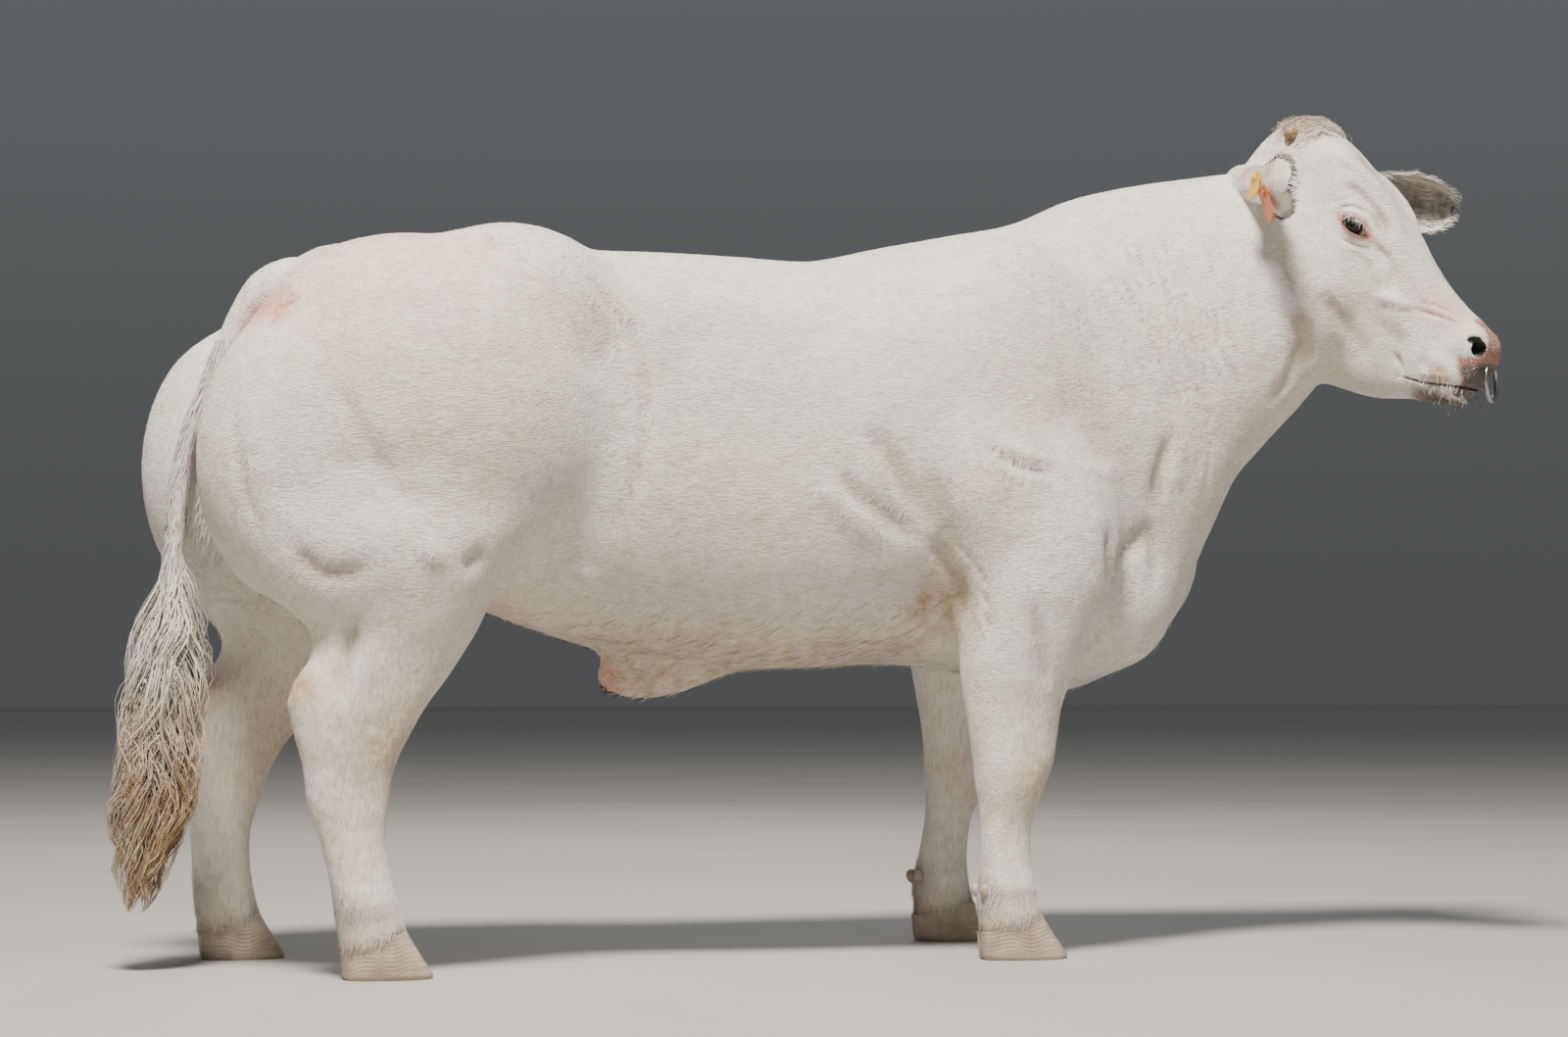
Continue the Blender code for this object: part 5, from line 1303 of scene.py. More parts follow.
def combed(p, normals):
    # the hair's way: back and down the trunk, down the legs, out from the forehead's whorl on the face, along
    # the ears, all a little ruffled
    x, y, z = p.T
    q = toHead(p)
    way = np.zeros_like(p)
    low = smooth(1.05 - z, 0.0, 0.35)
    way[:, 0] = -1.0
    way[:, 2] = -0.30 - 0.75 * smooth(-x, 0.10, 0.45) * low - 0.45 * smooth(x, 0.25, 0.55) * low
    way[:, 2] -= 0.9 * smooth(1.20 - z, 0, 0.3)
    leg = smooth(0.66 - z, 0.0, 0.12) * smooth(np.abs(x - 0.05), 0.34, 0.42)
    chest = smooth(x, 0.62, 0.80) * smooth(1.0 - z, 0, 0.2)
    onTail = ((x < -0.79) & (np.abs(y) < 0.05) & (z > 0.3)).astype(float)
    face = smooth(q[:, 0] - 0.3 * q[:, 2], 0.02, 0.12) * (x > 0.93)
    out = np.column_stack([q[:, 0] - 0.10, q[:, 1] * 0.8, (q[:, 2] + 0.02) * 0.55])
    out /= np.linalg.norm(out, axis=1)[:, None] + 1e-6
    parts = [(leg, np.array([-0.15, 0, -1.0])), (chest, np.array([-0.35, 0, -1.0])),
             (onTail, np.array([-0.25, 0, -1.0])), (face, out @ headTurn)]
    parts += [(earCover(side, p), earFrame(side)[1]) for side in ear["places"]]
    for share, own in parts:
        way = way * (1 - share)[:, None] + share[:, None] * own
    way = way + coat["ruffled"] * np.stack([ruffle(p, 0.09, seed) for seed in (21, 22, 23)], 1)
    way -= normals * (way * normals).sum(1)[:, None]
    return way / (np.linalg.norm(way, axis=1)[:, None] + 1e-9)


def setPlan(mesh, name, spots):
    # a UV map with one place for each point
    corners = np.empty(len(mesh.loops), np.int32)
    mesh.loops.foreach_get("vertex_index", corners)
    mesh.uv_layers.new(name=name).data.foreach_set("uv", spots[corners].astype(np.float32).ravel())


def stripPoints(spine, side, up, half, height):
    # three points to a ring, left, right and above, and the spine's last point as the tip
    root = spine[:, :-1]
    ring = [root - side * half[..., None], root + side * half[..., None], root + up * height[..., None]]
    return np.concatenate([np.stack(ring, 2).reshape(len(spine), -1, 3), spine[:, -1:]], 1)


def stripPlan(s, skew):
    # each point's place on a strip's patch of the bake's map, from -1 to 1
    rings = len(s) - 1
    along = np.append(np.repeat(s[:-1], 3) + np.tile([0.0, skew, 0.0], rings), 1.0) * 2 - 1
    return np.stack([along, np.append(np.tile([-1.0, 0.15, 1.0], rings), 0.0)], 1)


def stripMesh(name, points):
    # points is strips x points x 3: a triangle at each root, quads between the rings, triangles at the tip
    n, count = points.shape[:2]
    last = count - 4
    tris = [(0, 2, 1)] + [(last + j, last + (j + 1) % 3, count - 1) for j in range(3)]
    quads = [(k + j, k + (j + 1) % 3, k + 3 + (j + 1) % 3, k + 3 + j)
             for k in range(0, last, 3) for j in range(3)]
    base = (np.arange(n) * count)[:, None, None]
    groups = [(base + np.array(tris)).reshape(-1, 3), (base + np.array(quads)).reshape(-1, 4)]
    return setMesh(name, points.reshape(-1, 3), groups)


def tuftMeshes(name, roots, normals, way, plan, length, width, lift, segments, wave=0.0,
               droop=0.0, sink=0.0008, fatness=0.16, plain=False):
    # ring k at s = k / segments: root + way length s + normal lift (1.5 s - 0.5 s2) + a wave sideways and up,
    # width (1 - s)^taper wide. Plain tufts take no markings
    n = len(roots)
    length, width, lift, wave = [np.broadcast_to(np.asarray(v, float), n)[:, None]
                                 for v in (length, width, lift, wave)]
    side = np.cross(normals, way)
    s = np.arange(segments + 1) / segments
    phase = dice.uniform(0, 2 * pi, n)[:, None]
    swing = wave * (np.sin(phase + 2 * pi * s) - np.sin(phase)) * (0.25 + 0.75 * s)
    heave = wave * (np.cos(phase + 2 * pi * s) - np.cos(phase)) * (0.25 + 0.75 * s)
    rise = lift * (1.5 * s - 0.5 * s * s) + np.maximum(heave, -0.3 * lift)
    spine = roots[:, None] - normals[:, None] * sink + way[:, None] * (length * s)[..., None]
    spine = spine + normals[:, None] * rise[..., None] + side[:, None] * swing[..., None]
    spine[:, :, 2] -= droop * length * s**2
    half = 0.5 * width * (1 - s[:-1]) ** coat["taper"]
    points = stripPoints(spine, side[:, None], normals[:, None], half, half * 2 * fatness)
    count = points.shape[1]
    local = stripPlan(s, 0.06)
    tone = dice.random(n)
    marks = {k: v * (not plain) for k, v in markings(roots).items() if k in hair["marks"]}
    most = coat["most"] // (6 * segments - 2)
    made = []
    for start in range(0, n, most):
        part = slice(start, start + most)
        mesh = stripMesh(name, points[part])
        # a tuft is lit as the skin that it lies on, so that it shows by its edges, as flat hair does
        mesh.normals_split_custom_set_from_vertices(np.repeat(normals[part], count, axis=0))
        setMarks(mesh, {k: np.repeat(v[part], count) for k, v in marks.items()})
        setMarks(mesh, {"tone": np.repeat(tone[part], count),
                        "along": np.tile((local[:, 0] + 1) / 2, len(roots[part]))})
        setPlan(mesh, "OFBake", (plan[part][:, None] + local * coat["patch"]).reshape(-1, 2))
        made.append(mesh)
    return made


def earFringe(p):
    # thick along the edges of the ear, thinner in its hollow
    weight = np.zeros(len(p))
    for side in ear["places"]:
        _, v, lift = earPlace(side, p)
        thick = smooth(np.abs(v), 0.80, 0.92) + 0.22 * smooth(lift, 0.0025, 0.004)
        weight = np.maximum(weight, earCover(side, p) * thick)
    return weight


def footFringe(p):
    # the rim above each claw's wall and the tuft behind the pastern, round the dewclaws
    weight = np.zeros(len(p))
    for fx, fy, fz in body["feet"].values():
        dx = p[:, 0] - fx
        near = (np.abs(dx) < 0.12) & (np.abs(p[:, 1] - fy) < 0.10) & (p[:, 2] < 0.20)
        rim = np.exp(-(((p[:, 2] - fz - body["coronetSlope"] * dx - 0.010) / 0.009) ** 2))
        tuft = 0.8 * spot(p, (fx - 0.050, fy, 0.118), (0.030, 0.045, 0.030), 0.5)
        weight = np.maximum(weight, near * np.maximum(rim, tuft))
    return weight


def zoneWeights(p, marks):
    # how thickly each zone's tufts grow over the skin
    x, y, z = p.T
    q = toHead(p)
    m = mirrored(q)
    onEar = np.zeros(len(p), bool)
    for side in ear["places"]:
        onEar |= earCover(side, p) > 0
    onHead = (smooth(q[:, 0] - 0.3 * q[:, 2], 0.03, 0.09) * (x > 0.93) > 0.5) | onEar
    onTail = (x < -0.79) & (np.abs(y) < 0.045) & (z < 1.02) | (x < -0.84) & (np.abs(y) < 0.03)
    legs = (z < 0.52) & (np.abs(x - 0.05) > 0.30) & (np.abs(y) > 0.09) & ~onTail
    rest = ~onHead & ~onTail & ~legs
    furred = (1 - marks["bare"]) * (1 - 0.9 * marks["ink"])
    byHole = (nostrilDistance(m) < 0.009) & (q[:, 0] > 0.4)
    return {
        "torso": (rest & (x >= -0.22) & (x <= 0.60)) * furred,
        "haunch": (rest & (x < -0.22)) * furred,
        "neck": (rest & (x > 0.60)) * furred,
        "legs": legs * furred,
        "head": onHead * furred * (1 + smooth(q[:, 0], 0.25, 0.40)) * ~byHole,
        "dock": (onTail & (z > 0.55)) * furred,
        "fringe": ((triangleFacing < -0.55) & (z < 0.60) & ~legs & ~onTail) * furred,
        "poll": spot(m, (0.004, 0.0, -0.004), (0.046, 0.080, 0.040), 0.5) * ~onEar,
        "ears": onEar * earFringe(p),
        "feet": footFringe(p),
        "chin": spot(m, (0.470, 0.0, -0.288), (0.045, 0.045, 0.022), 0.5) * (marks["ink"] < 0.3),
    }


coatHair = tuftMaterial("shortCreamTufts", "D9CBB5", 0.62)
weights = zoneWeights(triangleMiddle, triangleMarks)
for zone, (count, length, width, lift, segments, wave) in coat["zones"].items():
    spots, normals, plan = rootsIn(weights[zone], count)
    way = combed(spots, normals)
    length, width, lift = [v * dice.uniform(least, 1.3, count)
                           for v, least in ((length, 0.7), (width, 0.7), (lift, 0.5))]
    tufts = tuftMeshes("coat_" + zone, spots, normals, way, plan, length, width, lift, segments, wave)
    for k, mesh in enumerate(tufts):
        newPiece(f"coat_{zone}_{k + 1}", mesh, coatHair, slot="short_cream_hair")


# Lashes on the upper lids and whiskers on the lips and chin, in the head's frame on the left side: number,
# length, width, how high the tips stand, droop, and the way that they point
bristles = {
    "lashes": (150, 0.019, 0.0011, 0.0040, 0.0, (0.35, 0.62, -0.38)),
    "whiskers": (80, 0.031, 0.0006, 0.0040, 0.25, (0.40, 0.75, -0.45)),
}
skinHead = mirrored(toHead(triangleMiddle))
lidPlace = fissurePlace(skinHead)
lidRing = fissureShare(lidPlace)
onLid = (lidRing > 0.98) & (lidRing < 1.32) & (lidPlace[:, 2] > 0.002) & (lidPlace[:, 1] > -0.016)
onLid &= (np.linalg.norm(skinHead - np.array(head["eye"]), axis=1) < 0.05)
onLips = spot(skinHead, (0.478, 0.040, -0.262), (0.050, 0.040, 0.034), 0.4) * (triangleMiddle[:, 0] > 0.93)
bristleHair = tuftMaterial("paleBristles", "CFC0A8", 0.45)
for name, weight in (("lashes", onLid * 1.0), ("whiskers", onLips)):
    count, length, width, lift, droop, stray = bristles[name]
    spots, _, plan = rootsIn(weight, count)
    way = np.array(stray) + dice.normal(0, 0.14, (count, 3))
    way[:, 1] *= np.sign(toHead(spots)[:, 1])
    way = way @ headTurn
    way /= np.linalg.norm(way, axis=1)[:, None]
    level = np.array([0, 0, 1.0]) - way * way[:, 2:]
    level /= np.linalg.norm(level, axis=1)[:, None]
    mesh = tuftMeshes(name, spots, level, way, plan, length * dice.uniform(0.6, 1.2, count), width, lift, 5,
                      droop=droop, sink=0.0, fatness=0.5, plain=True)[0]
    newPiece("coat_" + name, mesh, bristleHair, slot="short_cream_hair")
print("short coat laid")


# Eyes: a ball with its cornea bulging, dark iris and level pupil; the map gives the iris plane in shares
# of the iris's radius
eye = {"radius": 0.0193, "cornea": 0.055, "corneaAngle": 0.70, "iris": 0.90, "rows": 70, "columns": 72}


def eyeMaterial():
    # a wet cornea over a very dark brown iris with a level pupil; what white shows in the corners is brownish
    made, tree = newMaterial("bovineEye")
    plan = node(tree, "UVMap", uv_map="irisPlane")
    across = node(tree, "VectorMath", "Value", operation="LENGTH", in0=plan)
    pupil = node(tree, "Mapping", Vector=plan, Scale=(1.55, 3.0, 1.0))
    pupil = node(tree, "VectorMath", "Value", operation="LENGTH", in0=pupil)
    colour = laidOver(tree, "1A0F09", [
        (noise(tree, plan, 42.0, Detail=4.0), 0.30, 0.70, 1.0, "2C190F"),
        (across, 0.80, 1.00, 1.0, "120B08"),
        (pupil, 1.06, 0.92, 1.0, "050507"),
        (across, 1.00, 1.08, 1.0, "4A2E24"),
        (across, 1.08, 1.50, 1.0, "BFA598"),
    ])
    return finished(made, tree, colour, 0.5, Specular_IOR_Level=0.1, Coat_Weight=1.0, Coat_IOR=1.34,
                    Coat_Roughness=0.03)


eyeGloss = eyeMaterial()
for sign, side in ((-1, "right"), (1, "left")):
    # out is the way that the eye looks, level runs along the lids' corners, and high is square to both
    flip = [1, sign, 1]
    middle = np.array(head["eye"]) * flip
    out = (fissureTurn[:, 1] * 0.96 + np.array([0.16, 0, -0.04])) * flip
    out /= np.linalg.norm(out)
    level = fissureTurn[:, 0] * flip
    level -= out * (level @ out)
    level /= np.linalg.norm(level)
    high = np.cross(out, level) * sign * -1
    theta, phi = polarGrid(eye["rows"], eye["columns"], 0.02)
    bulge = eye["cornea"] * np.exp(-((theta / eye["corneaAngle"]) ** 4))
    r = eye["radius"] * (1 + bulge - eye["cornea"] * 0.8)
    local = (np.cos(theta) * r)[..., None] * out + ((np.sin(theta) * r) * np.cos(phi))[..., None] * level
    local = local + ((np.sin(theta) * r) * np.sin(phi))[..., None] * high
    flat, faces = gridSurface(local)
    mesh = outward(setMesh("eyeball_" + side, fromHead(flat + middle), faces))
    plane = np.stack([flat @ level, flat @ high], 1) / (eye["radius"] * eye["iris"])
    setPlan(mesh, "irisPlane", plane + (flat @ out < 0)[:, None] * 5.0)  # the back lies far off the iris
    newPiece("eyeball_" + side, mesh, eyeGloss, "eye_" + side, slot="eyeball")


# Claws: D-shaped sections, the flat side towards the other claw, with rings of growth round the wall.
# rows: height, then back, front and half width from the foot's middle
claw = {
    "rows": [
        (0.000, -0.0505, 0.0960, 0.0490),
        (0.004, -0.0520, 0.0960, 0.0500),
        (0.014, -0.0540, 0.0900, 0.0505),
        (0.040, -0.0560, 0.0720, 0.0485),
        (0.065, -0.0580, 0.0560, 0.0445),
        (0.095, -0.0580, 0.0400, 0.0415),
    ],
    "ringEvery": 0.0065,
    "ringDepth": 0.00045,
    "levels": 46,
    "around": 72,
    "wallPoints": 48,
    "flatGap": 0.0016,
    "wallHeight": 0.078,
    "hindStretch": 0.94,
}


def hornMaterial(name, pale, dark, stripe):
    # horn: layered keratin, waxy and pale, with fine tubules down it and soft rings of growth
    made, tree = newMaterial(name)
    place = node(tree, "TexCoord", "Object")
    patches = noise(tree, place, 26.0, Detail=4.0)
    rings = noise(tree, node(tree, "Mapping", Vector=place, Scale=(6, 6, 120)), 1.0)
    tubes = noise(tree, node(tree, "Mapping", Vector=place, Scale=(420, 420, 14)), 1.0)
    colour = laidOver(tree, pale, [(patches, 0.35, 0.70, 0.8, dark), (rings, 0.45, 0.70, 0.3, stripe),
                                   (tubes, 0.40, 0.75, 0.3, dark)])
    height = node(tree, "Mix", data_type="FLOAT", in0=0.4, in2=rings, in3=tubes)
    bump = node(tree, "Bump", Strength=0.35, Distance=0.0008, Height=height)
    return finished(made, tree, colour, 0.46, IOR=1.54, Normal=bump)


def clawShape(fx, fy, fz, side, stretch):
    # rows of sections from the sole up to the coronet, a half round wall and then the flat inner side
    arc = np.linspace(0, pi, claw["wallPoints"])
    flat = np.linspace(-1, 1, claw["around"] - claw["wallPoints"] + 2)[1:-1]
    unit = np.concatenate([np.cos(arc), flat])
    bow = np.concatenate([np.sin(arc) ** 0.75 * (0.92 + 0.08 * np.cos(arc)), np.zeros(len(flat))])
    level = np.linspace(0, 1, claw["levels"])[:, None]
    z = level * claw["wallHeight"]
    rows = list(zip(*claw["rows"]))
    for _ in range(3):
        back, front, wide = [alongColumn(z, rows[0], r) for r in rows[1:]]
        dx = ((front + back) / 2 + (front - back) / 2 * unit) * stretch
        z = level * (fz - 0.0010 + body["coronetSlope"] * dx)
    ring = claw["ringDepth"] * np.sin(2 * pi * (z + 0.004 * np.sin(9 * dx / 0.1)) / claw["ringEvery"])
    ring = ring * smooth(z, 0.006, 0.014) * (bow > 0.02)
    worn = 1 - 0.02 * smooth(1 - z / 0.006, 0, 1)
    px = fx + ((front + back) / 2 + (front - back) / 2 * unit * worn) * stretch
    py = fy + side * (claw["flatGap"] + (wide + ring) * bow * worn)
    return np.stack(np.broadcast_arrays(px, py, z), -1)


# Dewclaws: small blunt cones behind each pastern, narrower at their foot, that lean back and have soft rings
dewclaw = {
    "half": (0.0135, 0.0095, 0.0150),
    "size": 0.92,
    "narrowing": 0.28,
    "lean": -25,
    "behind": 0.051,
    "apart": 0.020,
    "height": 0.112,
}


def dewclawShape(fx, fy, side, stretch):
    theta, phi = polarGrid(26, 32, 0.03)
    long, wide, tall = dewclaw["half"]
    narrow = 1 - dewclaw["narrowing"] * (1 - np.cos(theta)) / 2
    shape = np.stack(np.broadcast_arrays(long * narrow * np.sin(theta) * np.cos(phi),
                                         wide * narrow * np.sin(theta) * np.sin(phi),
                                         tall * np.cos(theta)), -1)
    shape = shape * (1 + 0.02 * np.sin(theta * 16))[..., None]
    middle = [fx - dewclaw["behind"] * stretch, fy + side * dewclaw["apart"], dewclaw["height"]]
    return shape @ turned(dewclaw["lean"]).T * dewclaw["size"] + np.array(middle)


clawHorn = hornMaterial("clawHorn", "BDB09A", "93836C", "7A6A56")
budHorn = hornMaterial("budHorn", "A98A63", "806348", "6A5038")
for leg, (fx, fy, fz) in body["feet"].items():
    stretch = 1.0 if leg.startswith("fore") else claw["hindStretch"]
    for side in (-1, 1):
        which = "outer" if (side > 0) == (fy > 0) else "inner"
        for kind, shape in (("claw", clawShape(fx, fy, fz, side, stretch)),
                            ("dewclaw", dewclawShape(fx, fy, side, stretch))):
            mesh = outward(setMesh(kind, *gridSurface(shape)))
            newPiece(f"horn_{kind}_{leg}_{which}", mesh, clawHorn, f"{kind}_{leg}_{which}", slot="claw_horn")


# Horn buds: low rough knobs at the corners of the poll, with half sizes and place in the head's frame
bud = {"half": (0.0112, 0.0156, 0.0121), "place": (-0.002, 0.073, -0.045)}
for sign, side in ((-1, "right"), (1, "left")):
    theta, phi = polarGrid(30, 40, 0.03)
    long, wide, tall = bud["half"]
    shape = np.stack(np.broadcast_arrays(long * np.sin(theta) * np.cos(phi),
                                         wide * np.cos(theta) * np.ones_like(phi),
                                         tall * np.sin(theta) * np.sin(phi)), -1)
    shape = shape * (1 + 0.025 * np.sin(theta * 18) + 0.02 * np.sin(phi * 7 + theta * 5))[..., None]
    shape = fromHead(shape + np.array(bud["place"]) * [1, sign, 1])
    mesh = outward(setMesh("bud", *gridSurface(shape)))
    newPiece("bud_" + side, mesh, budHorn, "horn_bud_" + side, slot="horn_bud")


# Nose ring: drawn round bar, bent and polished, with its hinge and rivet at the far side
ring = {
    "radius": 0.034,
    "wire": 0.0043,
    "middle": (0.529, 0.0, -0.208),
    "around": 120,
    "across": 24,
    "hingeAt": 1.9,
}


def steelMaterial():
    # stainless steel bar, bent and polished: fine scratches, drawn 1.5 mm wide, and dried smears
    made, tree = newMaterial("polishedSteel")
    place = node(tree, "TexCoord", "Object")
    scratch = noise(tree, node(tree, "Mapping", Vector=place, Scale=(700, 700, 90)), 1.0)
    smear = noise(tree, place, 45.0, Detail=3.0)
    colour = laidOver(tree, "A9ABAC", [(smear, 0.45, 0.75, 1.0, "7C7770")])
    rough = node(tree, "MapRange", in0=scratch, in1=0.3, in2=0.7, in3=0.20, in4=0.38)
    return finished(made, tree, colour, rough, Metallic=1.0)


ringMiddle = fromHead(ring["middle"])
ringDown = np.array([0, 0, -1.0])
t = np.linspace(0, 2 * pi, ring["around"], endpoint=False)
arm = np.cos(t)[:, None] * headLeft + np.sin(t)[:, None] * ringDown
axis = np.cross(headLeft, ringDown)
u = np.linspace(0, 2 * pi, ring["across"], endpoint=False)
hinge = t - ring["hingeAt"]
knuckle = 1 + 0.10 * np.exp(-(hinge / 0.10) ** 2) - 0.10 * np.exp(-(hinge / 0.018) ** 2)
wire = ring["wire"] * 0.99 * knuckle[:, None]
points = ringMiddle + arm[:, None] * (ring["radius"] + wire * np.cos(u))[..., None]
points = points + axis * (wire * np.sin(u))[..., None]
# the last row lies on the first one, so its points are dropped and its quads closed round
flat, quads = gridSurface(np.concatenate([points, points[:1]]), caps=False)
count = ring["around"] * ring["across"]
mesh = setMesh("ring", flat[:count], quads % count)
newPiece("steel_nose_ring", outward(mesh), steelMaterial(), "nose_ring", slot="polished_steel")


# Ear tags: moulded plates, bare, on studs through the right ear. u and v on the ear, then each plate's size;
# they hang a little forward of plumb
tags = {
    "thickness": 0.0022,
    "plates": {
        "orange": (0.64, -0.16, (0.040, 0.062), None),
        "yellow": (0.46, 0.20, (0.036, 0.044), (0.044, 0.058)),
    },
    "colours": {"orange": ("BC5518", "C66A30"), "yellow": ("DDA400", "E0B120")},
    "behind": 0.008,
    "before": 0.0185,
    "stud": [(0, 0.0028), (0.85, 0.0028), (0.87, 0.0075), (0.98, 0.0068), (1, 0.002)],
    "button": [(0, 0.010), (0.3, 0.0108), (0.7, 0.0108), (1, 0.009)],
}


def plasticMaterial(name, colour, faded):
    # injection-moulded polyurethane: satin, faded and dusty in patches, with a fine grain from the mould that
    # is drawn 1 mm wide
    made, tree = newMaterial(name)
    place = node(tree, "TexCoord", "Object")
    bump = node(tree, "Bump", Strength=0.15, Distance=0.0003, Height=noise(tree, place, 900.0))
    colour = laidOver(tree, colour, [(noise(tree, place, 90.0, Detail=4.0), 0.42, 0.70, 1.0, faded)])
    return finished(made, tree, colour, 0.42, IOR=1.5, Normal=bump)


def plate(middle, turn, size):
    # a rounded rectangle, where |x / half width|^7 + |y / half height|^7 = 1, in rings from face to face
    around = np.linspace(0, 2 * pi, 96, endpoint=False)
    c, s = np.cos(around), np.sin(around)
    r = (np.abs(c) ** 7 + np.abs(s) ** 7) ** (-1 / 7) / 2
    rows = np.array([(0.02, -0.8), (0.90, -0.8), (0.93, -1.0), (0.985, -1.0), (1.0, -0.7), (1.0, 0.7),
                     (0.985, 1.0), (0.93, 1.0), (0.90, 0.8), (0.02, 0.8)])
    level = np.stack([c * r * size[0], s * r * size[1], np.zeros_like(c)], -1)
    flat = level * rows[:, None, :1]
    flat[..., 2] = rows[:, 1:] * tags["thickness"] / 2
    return setMesh("plate", *gridSurface(middle + flat @ turn))


def turnedStud(start, end, profile, up):
    # a round stud: rings of the profile's radii between two points
    share, radii = np.array(profile).T
    return setMesh("stud", *gridSurface(sweep(start + np.outer(share, end - start), radii, radii, 28, up)))


def joinMeshes(name, meshes):
    shape = bmesh.new()
    for mesh in meshes:
        shape.from_mesh(outward(mesh))
    joined = bpy.data.meshes.new(name)
    shape.to_mesh(joined)
    shape.free()
    joined.polygons.foreach_set("use_smooth", np.ones(len(joined.polygons), bool))
    return joined


for name, (u, v, backSize, frontSize) in tags["plates"].items():
    _, _, opening, across = earFrame("right")
    at = earPoint("right", np.array([u]), np.array([v]), np.array([0.0]))[0]
    angle = earArc(np.array([u]))[1][0] * v
    out = across * np.sin(angle) - opening * np.cos(angle)
    down = np.array([0, 0, -1.0]) + headAxis * 0.5
    down -= out * (down @ out)
    down /= np.linalg.norm(down)
    turn = np.array([np.cross(out, down), down, out])
    back, front = at + out * tags["behind"], at - out * tags["before"]
    forms = [plate(back + down * backSize[1] * 0.3, turn, backSize),
             turnedStud(front, back + out * 0.0030, tags["stud"], down)]
    if frontSize:
        forms.append(plate(front + down * frontSize[1] * 0.3, turn, frontSize))
    else:
        forms.append(turnedStud(front + out * 0.001, front - out * 0.0015, tags["button"], down))
    plastic = plasticMaterial(f"{name}TagPlastic", *tags["colours"][name])
    newPiece(f"tag_{name}", joinMeshes("tag", forms), plastic, f"ear_tag_{name}", slot=f"{name}_tag_plastic")
print("eyes, claws, buds, ring and tags made")


# Long hair of the tail: wavy locks that hang round the core, cream at the top and golden at the ends. Each
# lock is a strand of many tufts, which spread a little from its path and close in at its tip
switch = {
    "locks": 120,
    "tufts": 19,
    "segments": 13,
    "rootsTop": 0.70,
    "rootsLow": 0.325,
    # the core's radius by height, and the x that the hair hangs round, by height
    "core": [(0.700, 0.0130), (0.600, 0.0130), (0.540, 0.0115), (0.470, 0.0100),
             (0.380, 0.0075), (0.325, 0.0040)],
    "path": [(0.09, -0.954), (0.15, -0.945), (0.21, -0.934), (0.29, -0.922), (0.38, -0.914),
             (0.47, -0.908), (0.54, -0.904), (0.60, -0.902), (0.67, -0.898), (0.72, -0.896)],
    "lowest": 0.092,
    "width": 0.0030,
    "spread": 0.0095,
    "wave": 0.0075,
}


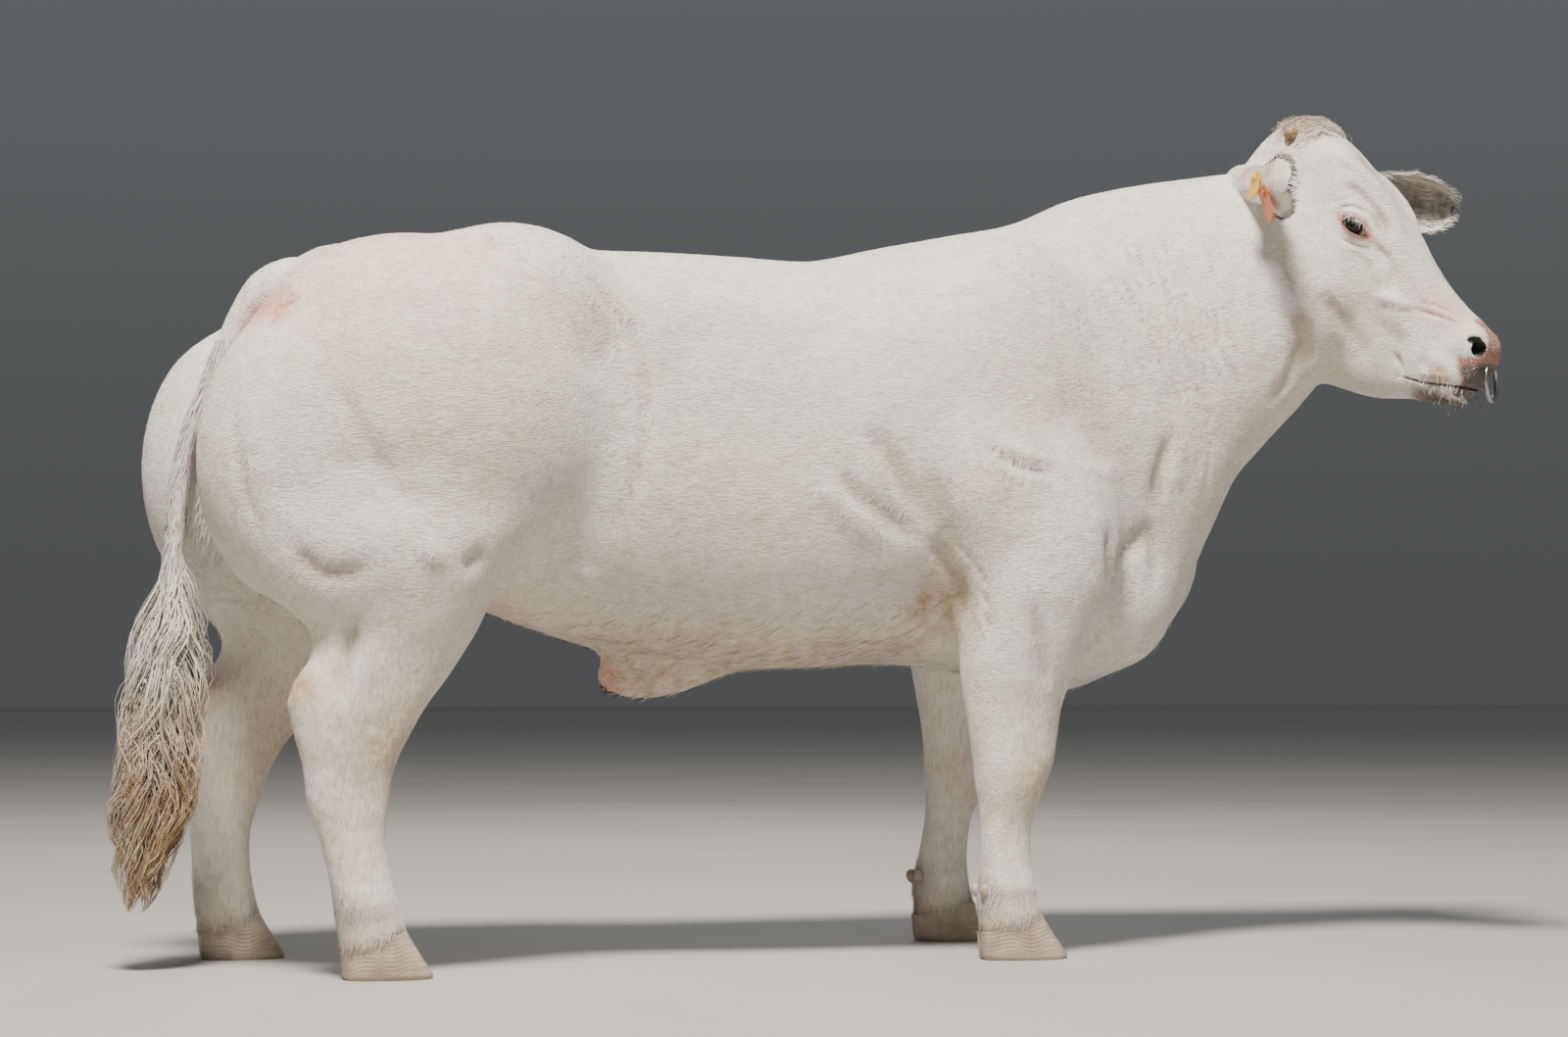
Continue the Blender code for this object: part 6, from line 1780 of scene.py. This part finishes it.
def hangingLocks():
    # each lock leaves the core sideways, falls, swings out by a few centimetres and waves about its path
    locks, tufts = switch["locks"] // 1, switch["tufts"]
    n = locks * tufts
    which = np.repeat(np.arange(locks), tufts)
    rootsTop, rootsLow = switch["rootsTop"], switch["rootsLow"]
    lockTop = rootsTop - (rootsTop - rootsLow) * (np.arange(locks) + dice.random(locks)) / locks
    lockTurn = np.arange(locks) * 2.39996 % (2 * pi)  # the golden angle
    top = np.clip(lockTop[which] + dice.uniform(-0.02, 0.02, n), rootsLow + 0.001, rootsTop)
    turn = lockTurn[which] + dice.normal(0, 0.16, n)
    coreR = alongColumn(top, *[[row[k] for row in switch["core"]] for k in (0, 1)])
    length = dice.uniform(0.20, 0.36, locks)[which] * dice.uniform(0.8, 1.0, n)
    bottom = np.maximum(top - length, switch["lowest"] + (0.10 * dice.random(locks) ** 2)[which])
    s = np.linspace(0, 1, switch["segments"] + 1)
    z = top[:, None] + (bottom - top)[:, None] * s
    pathX = alongColumn(z, *zip(*switch["path"]))
    # how far the lock stands off the path: close to the core at its root, then by its own swell, which is
    # widest half way down the tail
    swell = (0.016 + 0.044 * dice.random(locks) ** 0.7)[which]
    belly = np.sin(pi * np.clip((0.69 - z) / 0.62, 0, 1)) ** 0.6
    away = coreR[:, None] * 0.75 * (1 - s) + swell[:, None] * belly * smooth(s, 0.0, 0.55)
    phase = dice.uniform(0, 2 * pi, locks)[which][:, None]
    pace = dice.uniform(1.6, 3.0, locks)[which][:, None]
    wave = switch["wave"] * dice.uniform(0.5, 1.3, locks)[which][:, None] * smooth(s, 0.05, 0.5)
    turn2 = turn[:, None] + 0.4 * np.sin(phase + 3 * s)
    strand = dice.normal(0, 0.5, (2, n, 1)) * switch["spread"]
    strand = strand * smooth(s, 0.0, 0.3) * (1 - 0.7 * smooth(s, 0.5, 1.0))
    x = pathX + away * np.cos(turn2) * 1.1 + wave * np.sin(phase + 2 * pi * pace * s) + strand[0]
    y = 0.9 * away * np.sin(turn2) + wave * np.cos(phase + 2 * pi * pace * s + 0.6) + strand[1]
    spine = np.stack([x, y, z], -1)
    # each tuft lies flat round the tail: its width runs along side, and out points away from the tail
    tangent = np.gradient(spine, axis=1)
    tangent /= np.linalg.norm(tangent, axis=2)[..., None]
    radial = np.stack([np.cos(turn2), np.sin(turn2), 0 * turn2], -1)
    side = np.cross(radial, tangent)
    side /= np.linalg.norm(side, axis=2)[..., None]
    out = np.cross(tangent, side)[:, :-1]
    half = 0.5 * switch["width"] * dice.uniform(0.6, 1.5, n)[:, None]
    half = half * (1 - s[:-1]) ** 0.45 * smooth(s[:-1], -0.35, 0.12)
    points = stripPoints(spine, side[:, :-1], out, half, half * 0.6)
    count = points.shape[1]
    mesh = stripMesh("switch", points)
    # golden from 0.60 m down, more so towards the ends and in some locks
    high = points[..., 2].ravel()
    tipward = np.tile(np.append(np.repeat(s[:-1], 3), 1.0), n)
    goldShare = 0.4 * dice.random(n) + 0.6 * dice.random(locks)[which]
    gold = smooth(0.60 - high, 0.0, 0.42) * (0.35 + 0.65 * np.repeat(goldShare, count))
    gold = np.clip(0.02 + 0.75 * gold + 0.20 * tipward * smooth(0.5 - high, 0, 0.3), 0, 1)
    setMarks(mesh, {k: gold * (k == "stainAndShade") for k in hair["marks"]})
    setMarks(mesh, {"tone": np.repeat(dice.random(n), count), "along": tipward})
    # each tuft is a patch at its root's place on a plan of the core, turn by height
    plan = np.stack([turn / (2 * pi) * 0.9 + 0.05, 0.05 + 0.9 * (top - 0.32) / 0.39], 1)
    setPlan(mesh, "OFBake", (plan[:, None] + stripPlan(s, 0.02) * coat["patch"]).reshape(-1, 2))
    return mesh


switchHair = tuftMaterial("longTailLocks", "D8C6A6", 0.50)
newPiece("coat_tail_switch", hangingLocks(), switchHair, "tail_switch", slot="long_tail_hair")
print("tail switch hung")


newPiece("hide", skinMesh, hide, *flesh, slot="short_cream_hair")


# Studio: a pale floor, a key from high on the left, a weak fill and a back light, and the photo's camera
studio = {
    "floor": "A9A6A1",
    "floorClouds": "A5A29C",
    "floorSize": 120.0,
    "zenith": "D5DAE0",
    "horizon": "9EA1A3",
    "worldStrength": 0.24,
    # place, target, size in metres, power in watts and colour
    "lamps": {
        "key": ((-1.9, -3.5, 8.2), (0.0, 0, 0.8), 1.8, 2000, "FFF9F1"),
        "fill": ((4.5, -4.5, 1.9), (0.2, 0, 0.8), 3.5, 18, "F4F7FF"),
        "back": ((1.5, 4.5, 3.6), (0, 0, 0.8), 3.0, 70, "FFFFFF"),
    },
    "camera": (-1.381, -4.778, 0.453),
    "azimuth": radians(-17.5),
    "lift": 0.05694,
    "lens": 67.5,
}


def floorMaterial():
    # matt painted studio floor, with faint clouds where the roller went
    made, tree = newMaterial("paintedStudioFloor")
    clouds = noise(tree, node(tree, "TexCoord", "Object"), 1.3, Detail=3.0)
    colour = laidOver(tree, studio["floor"], [(clouds, 0.3, 0.7, 1.0, studio["floorClouds"])])
    return finished(made, tree, colour, 0.7)


half = studio["floorSize"] / 2
corners = [(-half, -half, 0), (half, -half, 0), (half, half, 0), (-half, half, 0)]
floorMesh = setMesh("studioFloor", np.array(corners), np.array([[0, 1, 2, 3]]))
floorMesh.materials.append(floorMaterial())
floor = placed("studioFloor", floorMesh)

# a soft grey horizon that the floor runs into, paler overhead
world = bpy.data.worlds.new("studio")
world.use_nodes = True
tree = world.node_tree
tree.nodes.clear()
height = node(tree, "SeparateXYZ", "Z", Vector=node(tree, "TexCoord", "Generated"))
sky = laidOver(tree, studio["horizon"], [(height, 0.0, 0.45, 1.0, studio["zenith"])])
node(tree, "OutputWorld", Surface=node(tree, "Background", Color=sky, Strength=studio["worldStrength"]))
bpy.context.scene.world = world

for name, (place, target, size, power, colour) in studio["lamps"].items():
    light = bpy.data.lights.new(name, "AREA")
    light.shape = "DISK"
    light.size = size
    light.energy = power
    light.color = linear(colour)[:3]
    lamp = placed(name, light)
    lamp.location = place
    lamp.rotation_euler = (Vector(target) - Vector(place)).to_track_quat("-Z", "Y").to_euler()

cameraData = bpy.data.cameras.new("photographAngle")
cameraData.lens = studio["lens"]
cameraData.clip_end = 100
camera = placed("photographAngle", cameraData)
az, up = studio["azimuth"], studio["lift"]
ahead = Vector((-sin(az) * cos(up), cos(az) * cos(up), sin(up)))
camera.location = Vector(studio["camera"]) + Vector(shift)
camera.rotation_euler = ahead.to_track_quat("-Z", "Y").to_euler()
bpy.context.scene.camera = camera

print("stage set")
